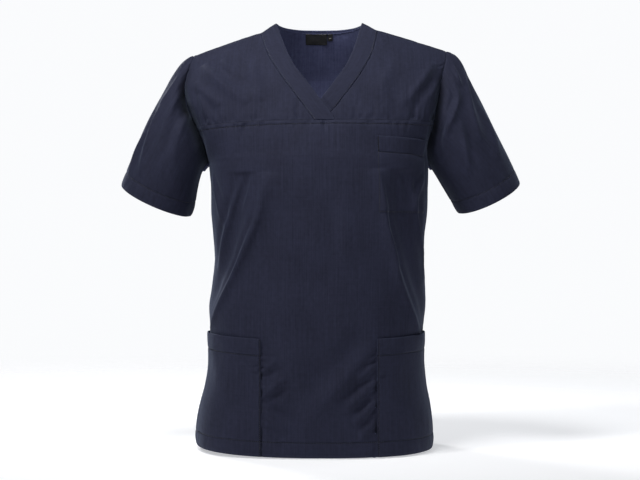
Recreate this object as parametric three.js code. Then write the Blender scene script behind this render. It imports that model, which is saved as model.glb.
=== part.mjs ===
// A short-sleeved V-neck medical scrub top that keeps the form of a wearer who isn't there.
// Millimetres. +Z is up, the front faces -Y and the wearer's left is +X.
// The origin is the middle of the neck opening, level with the neck ends of the shoulder seams,
// where the top hangs on its wearer.
// Every panel is a wall of cloth. Its outer face comes from rows of level sections: each row names
// the centre of the panel and its two edges, and the cloth bows from one to the other.
import * as THREE from 'three';

// Cloth
const clothWall = 1.6;
const hemWall = 2.6;
const bandWall = 2.2;
const pocketWall = 1.5;
const labelWall = 0.8;
const seamGap = 0.3;

// Pieces that are sewn on
const hemDepth = 25;
const bandProud = 0.9;
const bandUnderlap = 8;
const bandDip = 3.6;
const hipPocketMouthGap = 3.6;
const breastPocketWidth = 110;
const breastPocketMouthGap = 1.2;
const bindingWidth = 6;
const bindingEndWidth = 2.6;
const label = { from: -26, to: 13, drop: 21 };
const sizeTab = { from: 13.8, to: 23, drop: 13.5 };

const degrees = Math.PI / 180;
const colours = { navy: 0x252a3a, navyShade: 0x222736, black: 0x17161a };

// The trunk from the hem up to the underarm. rightHalf and leftHalf are the half widths at the
// wearer's right and left side seams, frontY and backY the depths at the centre, and rightZ and
// leftZ the heights of the side seams on that row.
const trunkRows = [
  { z: -700, frontY: -153, backY: 130, rightHalf: 212, leftHalf: 194, seamY: 4, rightZ: -693, leftZ: -697 },
  { z: -675, frontY: -152, backY: 129, rightHalf: 213.5, leftHalf: 195, seamY: 4, rightZ: -668, leftZ: -672 },
  { z: -634, frontY: -151, backY: 126, rightHalf: 209, leftHalf: 191, seamY: 3, rightZ: -630, leftZ: -633 },
  { z: -592, frontY: -150, backY: 121, rightHalf: 199.5, leftHalf: 183, seamY: 3, rightZ: -590, leftZ: -592 },
  { z: -550, frontY: -149, backY: 116, rightHalf: 192.5, leftHalf: 178, seamY: 2, rightZ: -549, leftZ: -549 },
  { z: -506, frontY: -148, backY: 111, rightHalf: 191.5, leftHalf: 180, seamY: 2, rightZ: -498, leftZ: -498 },
  { z: -460, frontY: -147.5, backY: 107, rightHalf: 193, leftHalf: 184.5, seamY: 2, rightZ: -456, leftZ: -456 },
  { z: -420, frontY: -147, backY: 105, rightHalf: 188, leftHalf: 184, seamY: 2, rightZ: -418, leftZ: -418 },
  { z: -375, frontY: -146.5, backY: 105, rightHalf: 184, leftHalf: 182, seamY: 2, rightZ: -375, leftZ: -375 },
  { z: -335, frontY: -146, backY: 107, rightHalf: 186, leftHalf: 182.5, seamY: 2, rightZ: -335, leftZ: -335 },
  { z: -295, frontY: -145, backY: 111, rightHalf: 189, leftHalf: 186, seamY: 2, rightZ: -295, leftZ: -295 },
  { z: -250, frontY: -143.5, backY: 116, rightHalf: 190, leftHalf: 187.5, seamY: 2, rightZ: -250, leftZ: -250 },
  { z: -207, frontY: -140, backY: 121, rightHalf: 193, leftHalf: 189, seamY: 2, rightZ: -207, leftZ: -207 },
];

// The front above the underarm. right and left are the points on the two armholes, with x as a
// half width, and turn is the angle through which the cloth has bowed there. neckRight and
// neckLeft are the outer edges of the neck bands, and bandRight the inner edge of the right one,
// all given from the yoke seam up.
const frontRows = [
  { z: -188, y: -136, right: [196, -33, -194], left: [185.5, -34, -193], turn: 76 },
  { z: -165, y: -130.5, right: [202, -51, -172], left: [186.5, -52, -170], turn: 67 },
  {
    z: -139, y: -121, right: [212.5, -56, -147], left: [195.5, -58.5, -138], turn: 62,
    neckRight: -9.7, neckLeft: 8, bandRight: 25,
  },
  {
    z: -122, y: -113.5, right: [222.5, -54, -126], left: [199, -57.5, -118], turn: 60,
    neckRight: -21.5, neckLeft: 21.2, bandRight: 14.5,
  },
  {
    z: -100, y: -103.5, right: [232, -49, -103], left: [203, -52, -96], turn: 57,
    neckRight: -37, neckLeft: 38, bandRight: -1.6,
  },
  {
    z: -70, y: -88.5, right: [235, -39, -75], left: [208.5, -42, -69], turn: 53,
    neckRight: -58.5, neckLeft: 60, bandRight: -23,
  },
  {
    z: -42, y: -72.5, right: [231.5, -27, -54], left: [213.5, -31, -48], turn: 47,
    neckRight: -76, neckLeft: 76.5, bandRight: -43,
  },
  {
    z: -14, y: -54, right: [227.5, -17, -38], left: [218, -19, -31], turn: 41,
    neckRight: -89, neckLeft: 88.5, bandRight: -57,
  },
  {
    z: 15, y: -36, right: [224, -10, -27], left: [220.5, -10, -19], turn: 35,
    neckRight: -97, neckLeft: 95, bandRight: -67.5,
  },
  {
    z: 46, y: -17, right: [221, -4, -19], left: [221, -4, -11], turn: 30,
    neckRight: -102, neckLeft: 99, bandRight: -76,
  },
];

// The back above the underarm, up to the row where it starts to roll over the shoulder.
const backRows = [
  { z: -188, y: 124, right: [196, 36, -194], left: [187, 36, -193], turn: 76 },
  { z: -165, y: 126, right: [202, 54, -172], left: [188, 54, -170], turn: 67 },
  { z: -138, y: 127, right: [212.5, 62, -146], left: [195.5, 62, -141], turn: 62 },
  { z: -108, y: 125.5, right: [226, 61, -112], left: [202, 61, -110], turn: 59 },
  { z: -78, y: 121, right: [231, 53, -84], left: [207.5, 53, -79], turn: 56 },
  { z: -50, y: 114, right: [229, 41, -58], left: [213, 41, -51], turn: 53 },
];

// The neckline at the back, from its centre to the neck end of the shoulder seam, and how high
// the inner corner of a neck band stands there.
const backNeck = [[0, 74, 31], [32, 70, 31.5], [57, 51, 33], [71, 24, 35], [75.5, -3, 35.5]];
const bandCornerZ = 38.5;
const neckColumns = { neck: 0.4, corner: 0.5 };

// The main folds. Each runs down the cloth through three points, given as a height and the angle
// round from the centre line. height and width are those of its ridge, and the hollow beyond it,
// towards the side seam, is valley deep and beyond away.
const frontFolds = [
  { side: -1, top: [-228, 24], middle: [-402, 48.5], foot: [-505, 76], height: 7, width: 19, valley: 8, beyond: 34 },
  { side: 1, top: [-222, 28], middle: [-399, 41], foot: [-515, 66], height: 7, width: 19, valley: 9, beyond: 36 },
];
const backFolds = [
  { side: -1, top: [-130, 22], middle: [-420, 30], foot: [-730, 27], height: 6, width: 22, valley: 5, beyond: 40 },
  { side: -1, top: [-230, 54], middle: [-430, 60], foot: [-660, 66], height: 5, width: 19, valley: 4, beyond: 32 },
  { side: 1, top: [-140, 25], middle: [-430, 24], foot: [-730, 33], height: 6, width: 22, valley: 5, beyond: 40 },
  { side: 1, top: [-230, 52], middle: [-400, 61], foot: [-640, 64], height: 5, width: 19, valley: 4, beyond: 32 },
];
const foldReach = 165;

// The sleeves: the centre of each cuff opening, its half widths across and front to back, the
// slope of its outer edge, how much lower its front hangs and how full the top of the sleeve is.
// The rest is the way the cloth leaves the armhole at its tip, front, back and underarm, with x
// counted away from the body.
const sleeves = [
  {
    name: 'sleeve_left', side: 1, cuff: [291.5, -4, -260.5], across: 60, deep: 64, slope: 26.9, frontDrop: 12,
    full: 5, tip: [92, 0, -20], front: [66, -52, -70], back: [72, 44, -72], under: [45, 0, -74],
  },
  {
    name: 'sleeve_right', side: -1, cuff: [-283, -4, -264.5], across: 66, deep: 66, slope: 24.7, frontDrop: 12,
    full: 0, tip: [134, 0, -41], front: [60, -58, -64], back: [66, 48, -66], under: [62, 0, -26],
  },
];
const sleeveArrival = { tip: 150, front: 110, back: 110, under: 70 };
// Folds of a sleeve: round is the share of the way from the underarm, over the front, to the tip.
const sleeveFolds = [
  { side: 1, round: 0.27, leans: -0.04, height: 4.5, width: 0.055, from: 0.04, to: 0.8 },
  { side: 1, round: 0.41, leans: -0.02, height: 3.6, width: 0.05, from: 0.04, to: 0.85 },
  { side: 1, round: 0.68, leans: 0.03, height: 4, width: 0.06, from: 0.1, to: 0.95 },
  { side: -1, round: 0.42, leans: 0.02, height: 3.6, width: 0.05, from: 0.15, to: 0.95 },
  { side: -1, round: 0.23, leans: 0.03, height: 4, width: 0.055, from: 0.04, to: 0.8 },
  { side: -1, round: 0.7, leans: -0.03, height: 4, width: 0.06, from: 0.1, to: 0.95 },
];
const sleeveLength = 245;

// How far from the centre line the inner edges of the pockets run.
const pocketLine = { right: 97.5, left: 95 };
const sideName = (side) => (side < 0 ? 'right' : 'left');

const mix = (a, b, share) => a + (b - a) * share;
const clamp = (value, low, high) => Math.min(high, Math.max(low, value));
const ease = (value) => clamp(value, 0, 1) ** 2 * (3 - 2 * clamp(value, 0, 1));
const bell = (value) => Math.exp(-value * value);
const vector = (values) => new THREE.Vector3(...values);
const between = (from, to, cells) => Array.from({ length: cells + 1 }, (_, i) => mix(from, to, i / cells));
const joinRuns = (...runs) => runs.flatMap((run, i) => (i ? run.slice(1) : run));

// A smooth curve through evenly numbered values
function through(values) {
  const last = values.length - 1;
  return (place) => {
    const i = clamp(Math.floor(place), 0, last - 1);
    const s = place - i;
    const [b, c] = [values[i], values[i + 1]];
    const a = i > 0 ? values[i - 1] : 2 * b - c;
    const d = i + 2 <= last ? values[i + 2] : 2 * c - b;
    return b + 0.5 * s * (c - a + s * (2 * a - 5 * b + 4 * c - d + s * (3 * (b - c) + d - a)));
  };
}

const along = (rows, name) => through(rows.map((row) => row[name]));

function alongPoints(points) {
  const parts = [0, 1, 2].map((axis) => through(points.map((point) => point[axis])));
  return (place) => vector(parts.map((part) => part(place)));
}

// A cubic from one point to another that leaves and arrives in given directions
function bridge(from, leave, to, arrive, share) {
  const s2 = share * share;
  const s3 = s2 * share;
  return from.clone().multiplyScalar(2 * s3 - 3 * s2 + 1)
    .addScaledVector(leave, s3 - 2 * s2 + share)
    .addScaledVector(to, 3 * s2 - 2 * s3)
    .addScaledVector(arrive, s3 - s2);
}

// The numbers of the rows that seams and edges run along
const underarm = trunkRows.length - 1;
const yokeSeam = underarm + 3;
const frontTop = underarm + frontRows.length;
const rollRow = underarm + backRows.length;
const backTop = rollRow + 1;
const pocketMouth = 5;
const breastPocketFoot = 10;
const breastPocketMouth = underarm + 2;

// How far across and forward the cloth has gone after turning by an angle: a squarish arc
const acrossArc = (turn, square) => Math.sin(turn) + square * Math.sin(3 * turn);
const forwardArc = (turn, square) => Math.cos(turn) - square * Math.cos(3 * turn);

// A panel from its rows. It gives the point at u, from -1 at its right edge to 1 at its left edge,
// and v, the number of the row.
function panel(centres, edgeRows, square) {
  const centreY = along(centres, 'y');
  const centreZ = along(centres, 'z');
  const turn = along(centres, 'turn');
  const seams = [-1, 1].map((side) => {
    const name = sideName(side);
    const low = trunkRows.map((row) => [side * row[name + 'Half'], row.seamY, row[name + 'Z']]);
    const high = edgeRows.map((row) => [side * row[name][0], row[name][1], row[name][2]]);
    return { low: alongPoints(low), high: alongPoints([low[underarm], ...high]) };
  });
  return (u, v) => {
    const seam = seams[u < 0 ? 0 : 1];
    const edge = v <= underarm ? seam.low(v) : seam.high(v - underarm);
    const full = turn(v) * degrees;
    const here = Math.abs(u) * full;
    const share = acrossArc(here, square) / acrossArc(full, square);
    const bow = (forwardArc(0, square) - forwardArc(here, square)) /
      (forwardArc(0, square) - forwardArc(full, square));
    const dip = 2 - 0.85 * ease((v - yokeSeam - 1) / (frontTop - yokeSeam - 1));
    return new THREE.Vector3(
      edge.x * share,
      mix(centreY(v), edge.y, bow),
      mix(centreZ(v), edge.z, share ** dip),
    );
  };
}

const frontCentres = [
  ...trunkRows.map((row) => ({ z: row.z, y: row.frontY, turn: 90 })),
  ...frontRows,
];
const backCentres = [
  ...trunkRows.map((row) => ({ z: row.z, y: row.backY, turn: 90 })),
  ...backRows,
];
const plainFront = panel(frontCentres, frontRows, 0.045);
const backSections = panel(backCentres, backRows, 0.035);

// The u at which a surface reaches a given x on row v
function uAtX(surface, x, v) {
  const side = x < 0 ? -1 : 1;
  let [low, high] = [0, 1];
  for (let step = 0; step < 40; step += 1) {
    const middle = (low + high) / 2;
    if (Math.abs(surface(side * middle, v).x) < Math.abs(x)) low = middle;
    else high = middle;
  }
  return side * (low + high) / 2;
}

// The u that lies a given length of cloth beyond u on row v
function uAtLength(surface, u, length, v) {
  const side = Math.sign(u);
  const step = 0.004;
  let [gone, at, last] = [0, Math.abs(u), surface(u, v)];
  while (gone < length && at < 1) {
    at += step;
    const next = surface(side * at, v);
    gone += next.distanceTo(last);
    last = next;
  }
  return side * at;
}

const neckCurve = alongPoints(backNeck);
const neckEnd = (side) => {
  const [x, y, z] = backNeck[backNeck.length - 1];
  return new THREE.Vector3(side * x, y, z);
};
const bandOuterX = { right: along(frontRows.slice(2), 'neckRight'), left: along(frontRows.slice(2), 'neckLeft') };
const overBandInnerX = (v) => along(frontRows.slice(2), 'bandRight')(v - yokeSeam);

// The edge of a yoke along its neck band. On the left it stops at the band that passes over.
function neckEdgeX(side, v) {
  const x = bandOuterX[sideName(side)](v - yokeSeam);
  return side < 0 ? x : Math.max(x, overBandInnerX(v));
}

// The shoulder line of the back: along the end of the neck band, then along the shoulder seam
function shoulderLine(side, out) {
  const { neck, corner } = neckColumns;
  const cornerU = uAtX(plainFront, neckEdgeX(side, frontTop), frontTop);
  if (out < corner) return neckEnd(side).lerp(plainFront(cornerU, frontTop), (out - neck) / (corner - neck));
  return plainFront(mix(cornerU, side, (out - corner) / (1 - corner)), frontTop);
}

// The back follows its rows up to the shoulder blades, then rolls over to the shoulder line and
// rises to the neckline.
function plainBack(u, v) {
  if (v <= rollRow) return backSections(u, v);
  const side = u < 0 ? -1 : 1;
  const out = Math.abs(u);
  const { neck } = neckColumns;
  const neckShare = Math.min(1, out / neck);
  const shoulderShare = clamp((out - neck) / (1 - neck), 0, 1);
  const onNeck = neckCurve(neckShare * (backNeck.length - 1));
  onNeck.x *= side;
  const to = out < neck ? onNeck : shoulderLine(side, out);
  const leave = new THREE.Vector3(side * 9 * out, mix(-30, -24, out), mix(78, 44, out));
  const arriveNeck = new THREE.Vector3(-side * 12 * neckShare, mix(-26, -18, neckShare), 50);
  const arriveShoulder = new THREE.Vector3(0, mix(-64, -40, shoulderShare), mix(-56, -18, shoulderShare));
  const arrive = arriveShoulder.lerp(arriveNeck, 1 - ease((out - neck + 0.04) / 0.17));
  return bridge(backSections(u, rollRow), leave, to, arrive, v - rollRow);
}

// The direction that faces away from the wearer. Across and then up gives it on the front, and
// its opposite on the back, which is what facing says.
function surfaceNormal(surface, facing, u, v) {
  const step = 0.01;
  const top = facing > 0 ? frontTop : backTop;
  const sideways = surface(Math.min(1, u + step), v).sub(surface(Math.max(-1, u - step), v));
  const upwards = surface(u, Math.min(top, v + step)).sub(surface(u, Math.max(0, v - step)));
  return sideways.cross(upwards).multiplyScalar(facing).normalize();
}

// How far the folds lift or sink the cloth at an angle round from the centre and a height
function foldRelief(folds, u, angle, z) {
  let relief = 0;
  for (const fold of folds) {
    const length = fold.top[0] - fold.foot[0];
    const down = (fold.top[0] - z) / length;
    if (fold.side !== Math.sign(u) || down <= 0 || down >= 1) continue;
    const middle = (fold.top[0] - fold.middle[0]) / length;
    const bend = fold.middle[1] - mix(fold.top[1], fold.foot[1], middle);
    const line = mix(fold.top[1], fold.foot[1], down) + bend * down * (1 - down) / (middle * (1 - middle));
    const off = (angle - line) * degrees * foldReach;
    const fade = Math.sin(Math.PI * Math.sqrt(down)) ** 0.8;
    relief += fade * fold.height * bell(off / fold.width);
    relief -= fade * fold.valley * bell((off - fold.beyond) / (1.3 * fold.width));
  }
  return relief;
}

// A surface with its folds, which die out towards the seams at its edges
function folded(surface, folds, centres, facing) {
  const turn = along(centres, 'turn');
  return (u, v) => {
    const point = surface(u, v);
    const angle = Math.abs(u) * turn(Math.min(v, centres.length - 1));
    const relief = foldRelief(folds, u, angle, point.z) * (1 - Math.abs(u) ** 10);
    if (Math.abs(relief) < 1e-6) return point;
    return point.addScaledVector(surfaceNormal(surface, facing, u, v), relief);
  };
}

const front = folded(plainFront, frontFolds, frontCentres, 1);
const back = folded(plainBack, backFolds, backCentres, -1);

// Pieces are grids of points that become walls of cloth.
const bodyCentre = new THREE.Vector3(0, 0, -340);
const pieces = [];

// The outward direction at each point of a grid. A tube's rows close on themselves.
function gridNormals(grid, tube, inside) {
  const [rows, columns] = [grid.length, grid[0].length];
  const column = (j) => (tube ? (j + columns) % columns : clamp(j, 0, columns - 1));
  const normals = grid.map((points, i) => points.map((_, j) => {
    const sideways = points[column(j + 1)].clone().sub(points[column(j - 1)]);
    const upwards = grid[Math.min(rows - 1, i + 1)][j].clone().sub(grid[Math.max(0, i - 1)][j]);
    return sideways.cross(upwards).normalize();
  }));
  const [i, j] = [Math.floor(rows / 2), Math.floor(columns / 2)];
  const outwards = grid[i][j].clone().sub(inside);
  if (normals[i][j].dot(outwards) < 0) normals.flat().forEach((normal) => normal.negate());
  return normals;
}

function addPiece(name, material, grid, options) {
  const { tube = false, inside = bodyCentre, wall = clothWall, inset = {}, gap = seamGap } = options;
  const normals = options.normals ?? gridNormals(grid, tube, inside);
  pieces.push({ name, material, grid, normals, tube, wall, inset, gap });
}

// Where pieces share the points of a seam, their ends face each other along one direction. A piece
// that turns away too sharply, as the sleeve does at the underarm, keeps its own.
function shareSeamNormals() {
  const seams = new Map();
  const keyOf = (point) => (point.seat ?? point).toArray().map((value) => Math.round(value * 20)).join(' ');
  for (const { grid, normals, tube } of pieces) {
    const [lastRow, lastColumn] = [grid.length - 1, grid[0].length - 1];
    grid.forEach((points, i) => points.forEach((point, j) => {
      const atEnd = !tube && (j === 0 || j === lastColumn);
      if (i > 0 && i < lastRow && !atEnd) return;
      const key = keyOf(point);
      if (!seams.has(key)) seams.set(key, []);
      seams.get(key).push(normals[i][j]);
    }));
  }
  const meanOf = (normals) => normals.reduce((sum, normal) => sum.add(normal), new THREE.Vector3()).normalize();
  for (const meeting of seams.values()) {
    const together = meeting.filter((normal) => normal.dot(meanOf(meeting)) > 0.55);
    if (together.length < 2) continue;
    const mean = meanOf(together);
    together.forEach((normal) => normal.copy(mean));
  }
}

// Draws the open edges of a grid back by half the gap that a seam keeps
function insetEdges({ grid, inset, gap }) {
  const copy = grid.map((points) => points.map((point) => point.clone()));
  const pull = (point, neighbour) => {
    point.addScaledVector(neighbour.clone().sub(point).normalize(), gap / 2);
  };
  const [lastRow, lastColumn] = [grid.length - 1, grid[0].length - 1];
  grid.forEach((points, i) => {
    if (inset.start) pull(copy[i][0], points[1]);
    if (inset.end) pull(copy[i][lastColumn], points[lastColumn - 1]);
  });
  grid[0].forEach((_, j) => {
    if (inset.foot) pull(copy[0][j], grid[1][j]);
    if (inset.top) pull(copy[lastRow][j], grid[lastRow - 1][j]);
  });
  return copy;
}

// A closed body between a grid of outer points and the same grid moved in by the wall
function wallGeometry(piece) {
  const { normals, wall, tube } = piece;
  const grid = insetEdges(piece);
  const [rows, columns] = [grid.length, grid[0].length];
  const positions = [];
  for (const depth of [0, 1]) {
    grid.forEach((points, i) => points.forEach((point, j) => {
      const thickness = depth * (typeof wall === 'function' ? wall(i) : wall);
      positions.push(...point.clone().addScaledVector(normals[i][j], -thickness).toArray());
    }));
  }
  const at = (depth, i, j) => depth * rows * columns + i * columns + (j % columns);
  const triangles = [];
  const quad = (a, b, c, d) => triangles.push(a, b, c, a, c, d);
  const cells = tube ? columns : columns - 1;
  for (let i = 0; i < rows - 1; i += 1) {
    for (let j = 0; j < cells; j += 1) {
      quad(at(0, i, j), at(0, i, j + 1), at(0, i + 1, j + 1), at(0, i + 1, j));
      quad(at(1, i, j), at(1, i + 1, j), at(1, i + 1, j + 1), at(1, i, j + 1));
    }
  }
  for (let j = 0; j < cells; j += 1) {
    quad(at(0, 0, j + 1), at(0, 0, j), at(1, 0, j), at(1, 0, j + 1));
    quad(at(0, rows - 1, j), at(0, rows - 1, j + 1), at(1, rows - 1, j + 1), at(1, rows - 1, j));
  }
  for (let i = 0; i < rows - 1 && !tube; i += 1) {
    quad(at(0, i, 0), at(0, i + 1, 0), at(1, i + 1, 0), at(1, i, 0));
    quad(at(0, i + 1, columns - 1), at(0, i, columns - 1), at(1, i, columns - 1), at(1, i + 1, columns - 1));
  }
  const geometry = new THREE.BufferGeometry();
  geometry.setAttribute('position', new THREE.Float32BufferAttribute(positions, 3));
  geometry.setIndex(facingOut(positions, triangles));
  return geometry;
}

// Turns the triangles over where they enclose a negative volume
function facingOut(positions, triangles) {
  const corner = (index) => new THREE.Vector3().fromArray(positions, index * 3);
  const turned = [];
  let volume = 0;
  for (let k = 0; k < triangles.length; k += 3) {
    const [a, b, c] = triangles.slice(k, k + 3);
    volume += corner(a).dot(corner(b).cross(corner(c)));
    turned.push(a, c, b);
  }
  return volume < 0 ? turned : triangles;
}

const navyCloth = new THREE.MeshStandardMaterial({ color: colours.navy, roughness: 0.85, metalness: 0 });
const navyTrim = new THREE.MeshStandardMaterial({ color: colours.navyShade, roughness: 0.85, metalness: 0 });
const labelCloth = new THREE.MeshStandardMaterial({ color: colours.black, roughness: 0.6, metalness: 0 });

// Rows and columns. The front has a column on the line of the pocket edges and one on the far edge
// of the breast pocket, and the back has one at the neck end of the shoulder seam.
const frontColumnCells = { toPocketLine: 6, acrossPocket: 8, toEdge: 5 };
const bandCells = 3;
const shoulderCells = 9;
const trunkLevels = joinRuns(
  between(0, 1, 1), between(1, pocketMouth, 9), between(pocketMouth, breastPocketFoot, 13),
  between(breastPocketFoot, underarm, 4),
);
const frontLevels = joinRuns(
  trunkLevels, between(underarm, breastPocketMouth, 4), between(breastPocketMouth, yokeSeam, 1),
);
const bandCrossing = yokeSeam + 0.77;
const yokeLevels = joinRuns(
  [yokeSeam, bandCrossing], between(bandCrossing, yokeSeam + 2, 3), between(yokeSeam + 2, frontTop, 8),
);
const backLevels = joinRuns(
  trunkLevels, between(underarm, underarm + 2, 3), between(underarm + 2, rollRow, 4),
  between(rollRow, backTop, 7),
);

function halfColumns(side, v) {
  const atLine = Math.abs(uAtX(plainFront, side * pocketLine[sideName(side)], v));
  const farEdge = Math.min(0.965, Math.abs(uAtLength(plainFront, side * atLine, breastPocketWidth, v)));
  return joinRuns(
    between(0, atLine, frontColumnCells.toPocketLine),
    between(atLine, farEdge, frontColumnCells.acrossPocket),
    between(farEdge, 1, frontColumnCells.toEdge),
  ).map((u) => side * u);
}

const frontColumns = (v) => [...halfColumns(-1, v).slice(1).reverse(), ...halfColumns(1, v)];

function backColumns() {
  const { neck, corner } = neckColumns;
  const half = joinRuns(between(0, neck, 5), between(neck, corner, bandCells), between(corner, 1, shoulderCells));
  return [...half.slice(1).reverse().map((u) => -u), ...half];
}

// A grid on the front or back, with the outward direction at each of its points
function sheetOn(surface, facing, levels, columnsAt) {
  const map = (make) => levels.map((v) => columnsAt(v).map((u) => make(u, v)));
  return {
    grid: map(surface),
    normals: map((u, v) => surfaceNormal(surface, facing, u, v)),
  };
}

const hemmed = (levels) => (i) => (levels[i] <= 1 ? hemWall : clothWall);

function makeFrontPanel() {
  const { grid, normals } = sheetOn(front, 1, frontLevels, frontColumns);
  const inset = { start: true, end: true, top: true };
  addPiece('front_panel', navyCloth, grid, { normals, inset, wall: hemmed(frontLevels) });
}

function makeBackPanel() {
  const { grid, normals } = sheetOn(back, -1, backLevels, backColumns);
  const inset = { start: true, end: true, top: true };
  addPiece('back_panel', navyCloth, grid, { normals, inset, wall: hemmed(backLevels) });
}

function makeYoke(side) {
  const columnsAt = (v) => between(uAtX(plainFront, neckEdgeX(side, v), v), side, shoulderCells);
  const { grid, normals } = sheetOn(front, 1, yokeLevels, columnsAt);
  const inset = { start: true, end: true, foot: true, top: true };
  addPiece('front_yoke_' + sideName(side), navyCloth, grid, { normals, inset });
}

// A point of a neck band, on the front and a little proud of it. Near the shoulder its inner edge
// stands up to meet the binding of the back neck.
function bandPoint(side, x, v, share) {
  const u = uAtX(plainFront, x, v);
  const point = plainFront(u, v).addScaledVector(surfaceNormal(plainFront, 1, u, v), bandProud);
  const end = neckEnd(side).setZ(bandCornerZ);
  const stand = end.clone().sub(plainFront(uAtX(plainFront, end.x, frontTop), frontTop));
  point.addScaledVector(stand, share * ease((v - frontTop + 3.2) / 3.2));
  if (v === frontTop) point.seat = shoulderLine(side, mix(neckColumns.corner, neckColumns.neck, share));
  return point;
}

function makeOverBand() {
  const grid = yokeLevels.map((v) => between(0, 1, bandCells).map((share) => (
    bandPoint(-1, mix(neckEdgeX(-1, v), overBandInnerX(v), share), v, share)
  )));
  const inset = { start: true, foot: true, top: true };
  addPiece('neck_band_right', navyTrim, grid, { inset, wall: bandWall, gap: 2 * seamGap });
}

// The other band is as wide as the first and dips under it where they cross.
function makeUnderBand() {
  const levels = yokeLevels.filter((v) => v >= bandCrossing);
  const grid = levels.map((v) => {
    const outer = neckEdgeX(1, v);
    const over = overBandInnerX(v);
    const width = over - neckEdgeX(-1, v);
    const inner = Math.max(outer - width, over - bandUnderlap);
    const shareOf = (x) => (outer - x) / (outer - inner);
    const full = clamp(shareOf(over + 4), 0.15, 2 / 3);
    const none = clamp(shareOf(over + 11), 0.08, full / 2);
    return [1, full, none, 0].map((share) => {
      const x = mix(outer, inner, share);
      const point = bandPoint(1, x, v, share);
      const under = ease((over + 11 - x) / 7);
      point.y += under * bandDip;
      return point;
    });
  });
  const inset = { end: true, foot: true, top: true };
  addPiece('neck_band_left', navyTrim, grid, { inset, wall: bandWall, gap: 2 * seamGap });
}

// The narrow binding carries on upwards from the edge of the back neck.
function makeBinding() {
  const columns = backColumns().filter((u) => Math.abs(u) <= neckColumns.neck + 1e-9);
  const grid = [0, 0.5, 1].map((share) => columns.map((u) => {
    const rise = back(u, backTop).sub(back(u, backTop - 0.04)).normalize();
    const width = mix(bindingWidth, bindingEndWidth, ease(Math.abs(u) / neckColumns.neck));
    return back(u, backTop).addScaledVector(rise, mix(seamGap / 2, width, share));
  }));
  const inset = { start: true, end: true };
  addPiece('back_neck_binding', navyTrim, grid, { inset, wall: bandWall, inside: vector([0, 0, 30]), gap: 4 });
}

// A flat woven piece that hangs inside the back neck from the seam of the binding
function makeLabel(name, size, cells) {
  const slope = back(0, backTop).distanceTo(back(0, backTop - 0.1)) / 0.1;
  const top = backTop - 0.3 / slope;
  const grid = between(top - size.drop / slope, top, 3).map((v) => (
    between(size.from, size.to, cells).map((x) => {
      const u = uAtX(plainBack, x, v);
      const stand = clothWall + 2 * seamGap + labelWall;
      return back(u, v).addScaledVector(surfaceNormal(back, -1, u, v), -stand);
    })
  ));
  addPiece(name, labelCloth, grid, { wall: labelWall, inside: vector([0, 300, 0]) });
}

// A pocket lies on the front, made from its points moved out. At its mouth it stands off a little
// more towards the side.
function makePocket(name, side, levels, cells, mouthGap, mouthRows) {
  const columnsAt = (v) => {
    const columns = halfColumns(side, v).slice(...cells);
    return side < 0 ? columns.reverse() : columns;
  };
  const { grid, normals } = sheetOn(front, 1, levels, columnsAt);
  const [lastRow, lastColumn] = [grid.length - 1, grid[0].length - 1];
  grid.forEach((points, i) => points.forEach((point, j) => {
    const outwards = (side < 0 ? lastColumn - j : j) / lastColumn;
    const open = mouthGap * ease(1 - (lastRow - i) / mouthRows) * outwards;
    point.addScaledVector(normals[i][j], pocketWall + seamGap + open);
  }));
  addPiece(name, navyCloth, grid, { normals, inset: { start: true, end: true }, wall: pocketWall });
}

function makePockets() {
  const { toPocketLine, acrossPocket } = frontColumnCells;
  const hipLevels = frontLevels.filter((v) => v <= pocketMouth);
  const breastLevels = frontLevels.filter((v) => v >= breastPocketFoot && v <= breastPocketMouth);
  for (const side of [-1, 1]) {
    makePocket('hip_pocket_' + sideName(side), side, hipLevels, [toPocketLine], hipPocketMouthGap, 4);
  }
  const cells = [toPocketLine, toPocketLine + acrossPocket + 1];
  makePocket('breast_pocket', 1, breastLevels, cells, breastPocketMouthGap, 3);
}

// The ring of points where a sleeve joins: up the front of the armhole and down its back
function armholeRing(side) {
  const upFront = joinRuns(frontLevels.filter((v) => v >= underarm), yokeLevels).map((v) => front(side, v));
  const downBack = backLevels.filter((v) => v >= underarm).reverse().map((v) => back(side, v));
  const withShares = (points, from) => {
    const sums = [0];
    points.slice(1).forEach((point, i) => sums.push(sums[i] + point.distanceTo(points[i])));
    return points.map((point, i) => ({ point, round: from + sums[i] / sums[sums.length - 1] / 2 }));
  };
  return [...withShares(upFront, 0), ...withShares(downBack, 0.5).slice(1, -1)];
}

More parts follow.
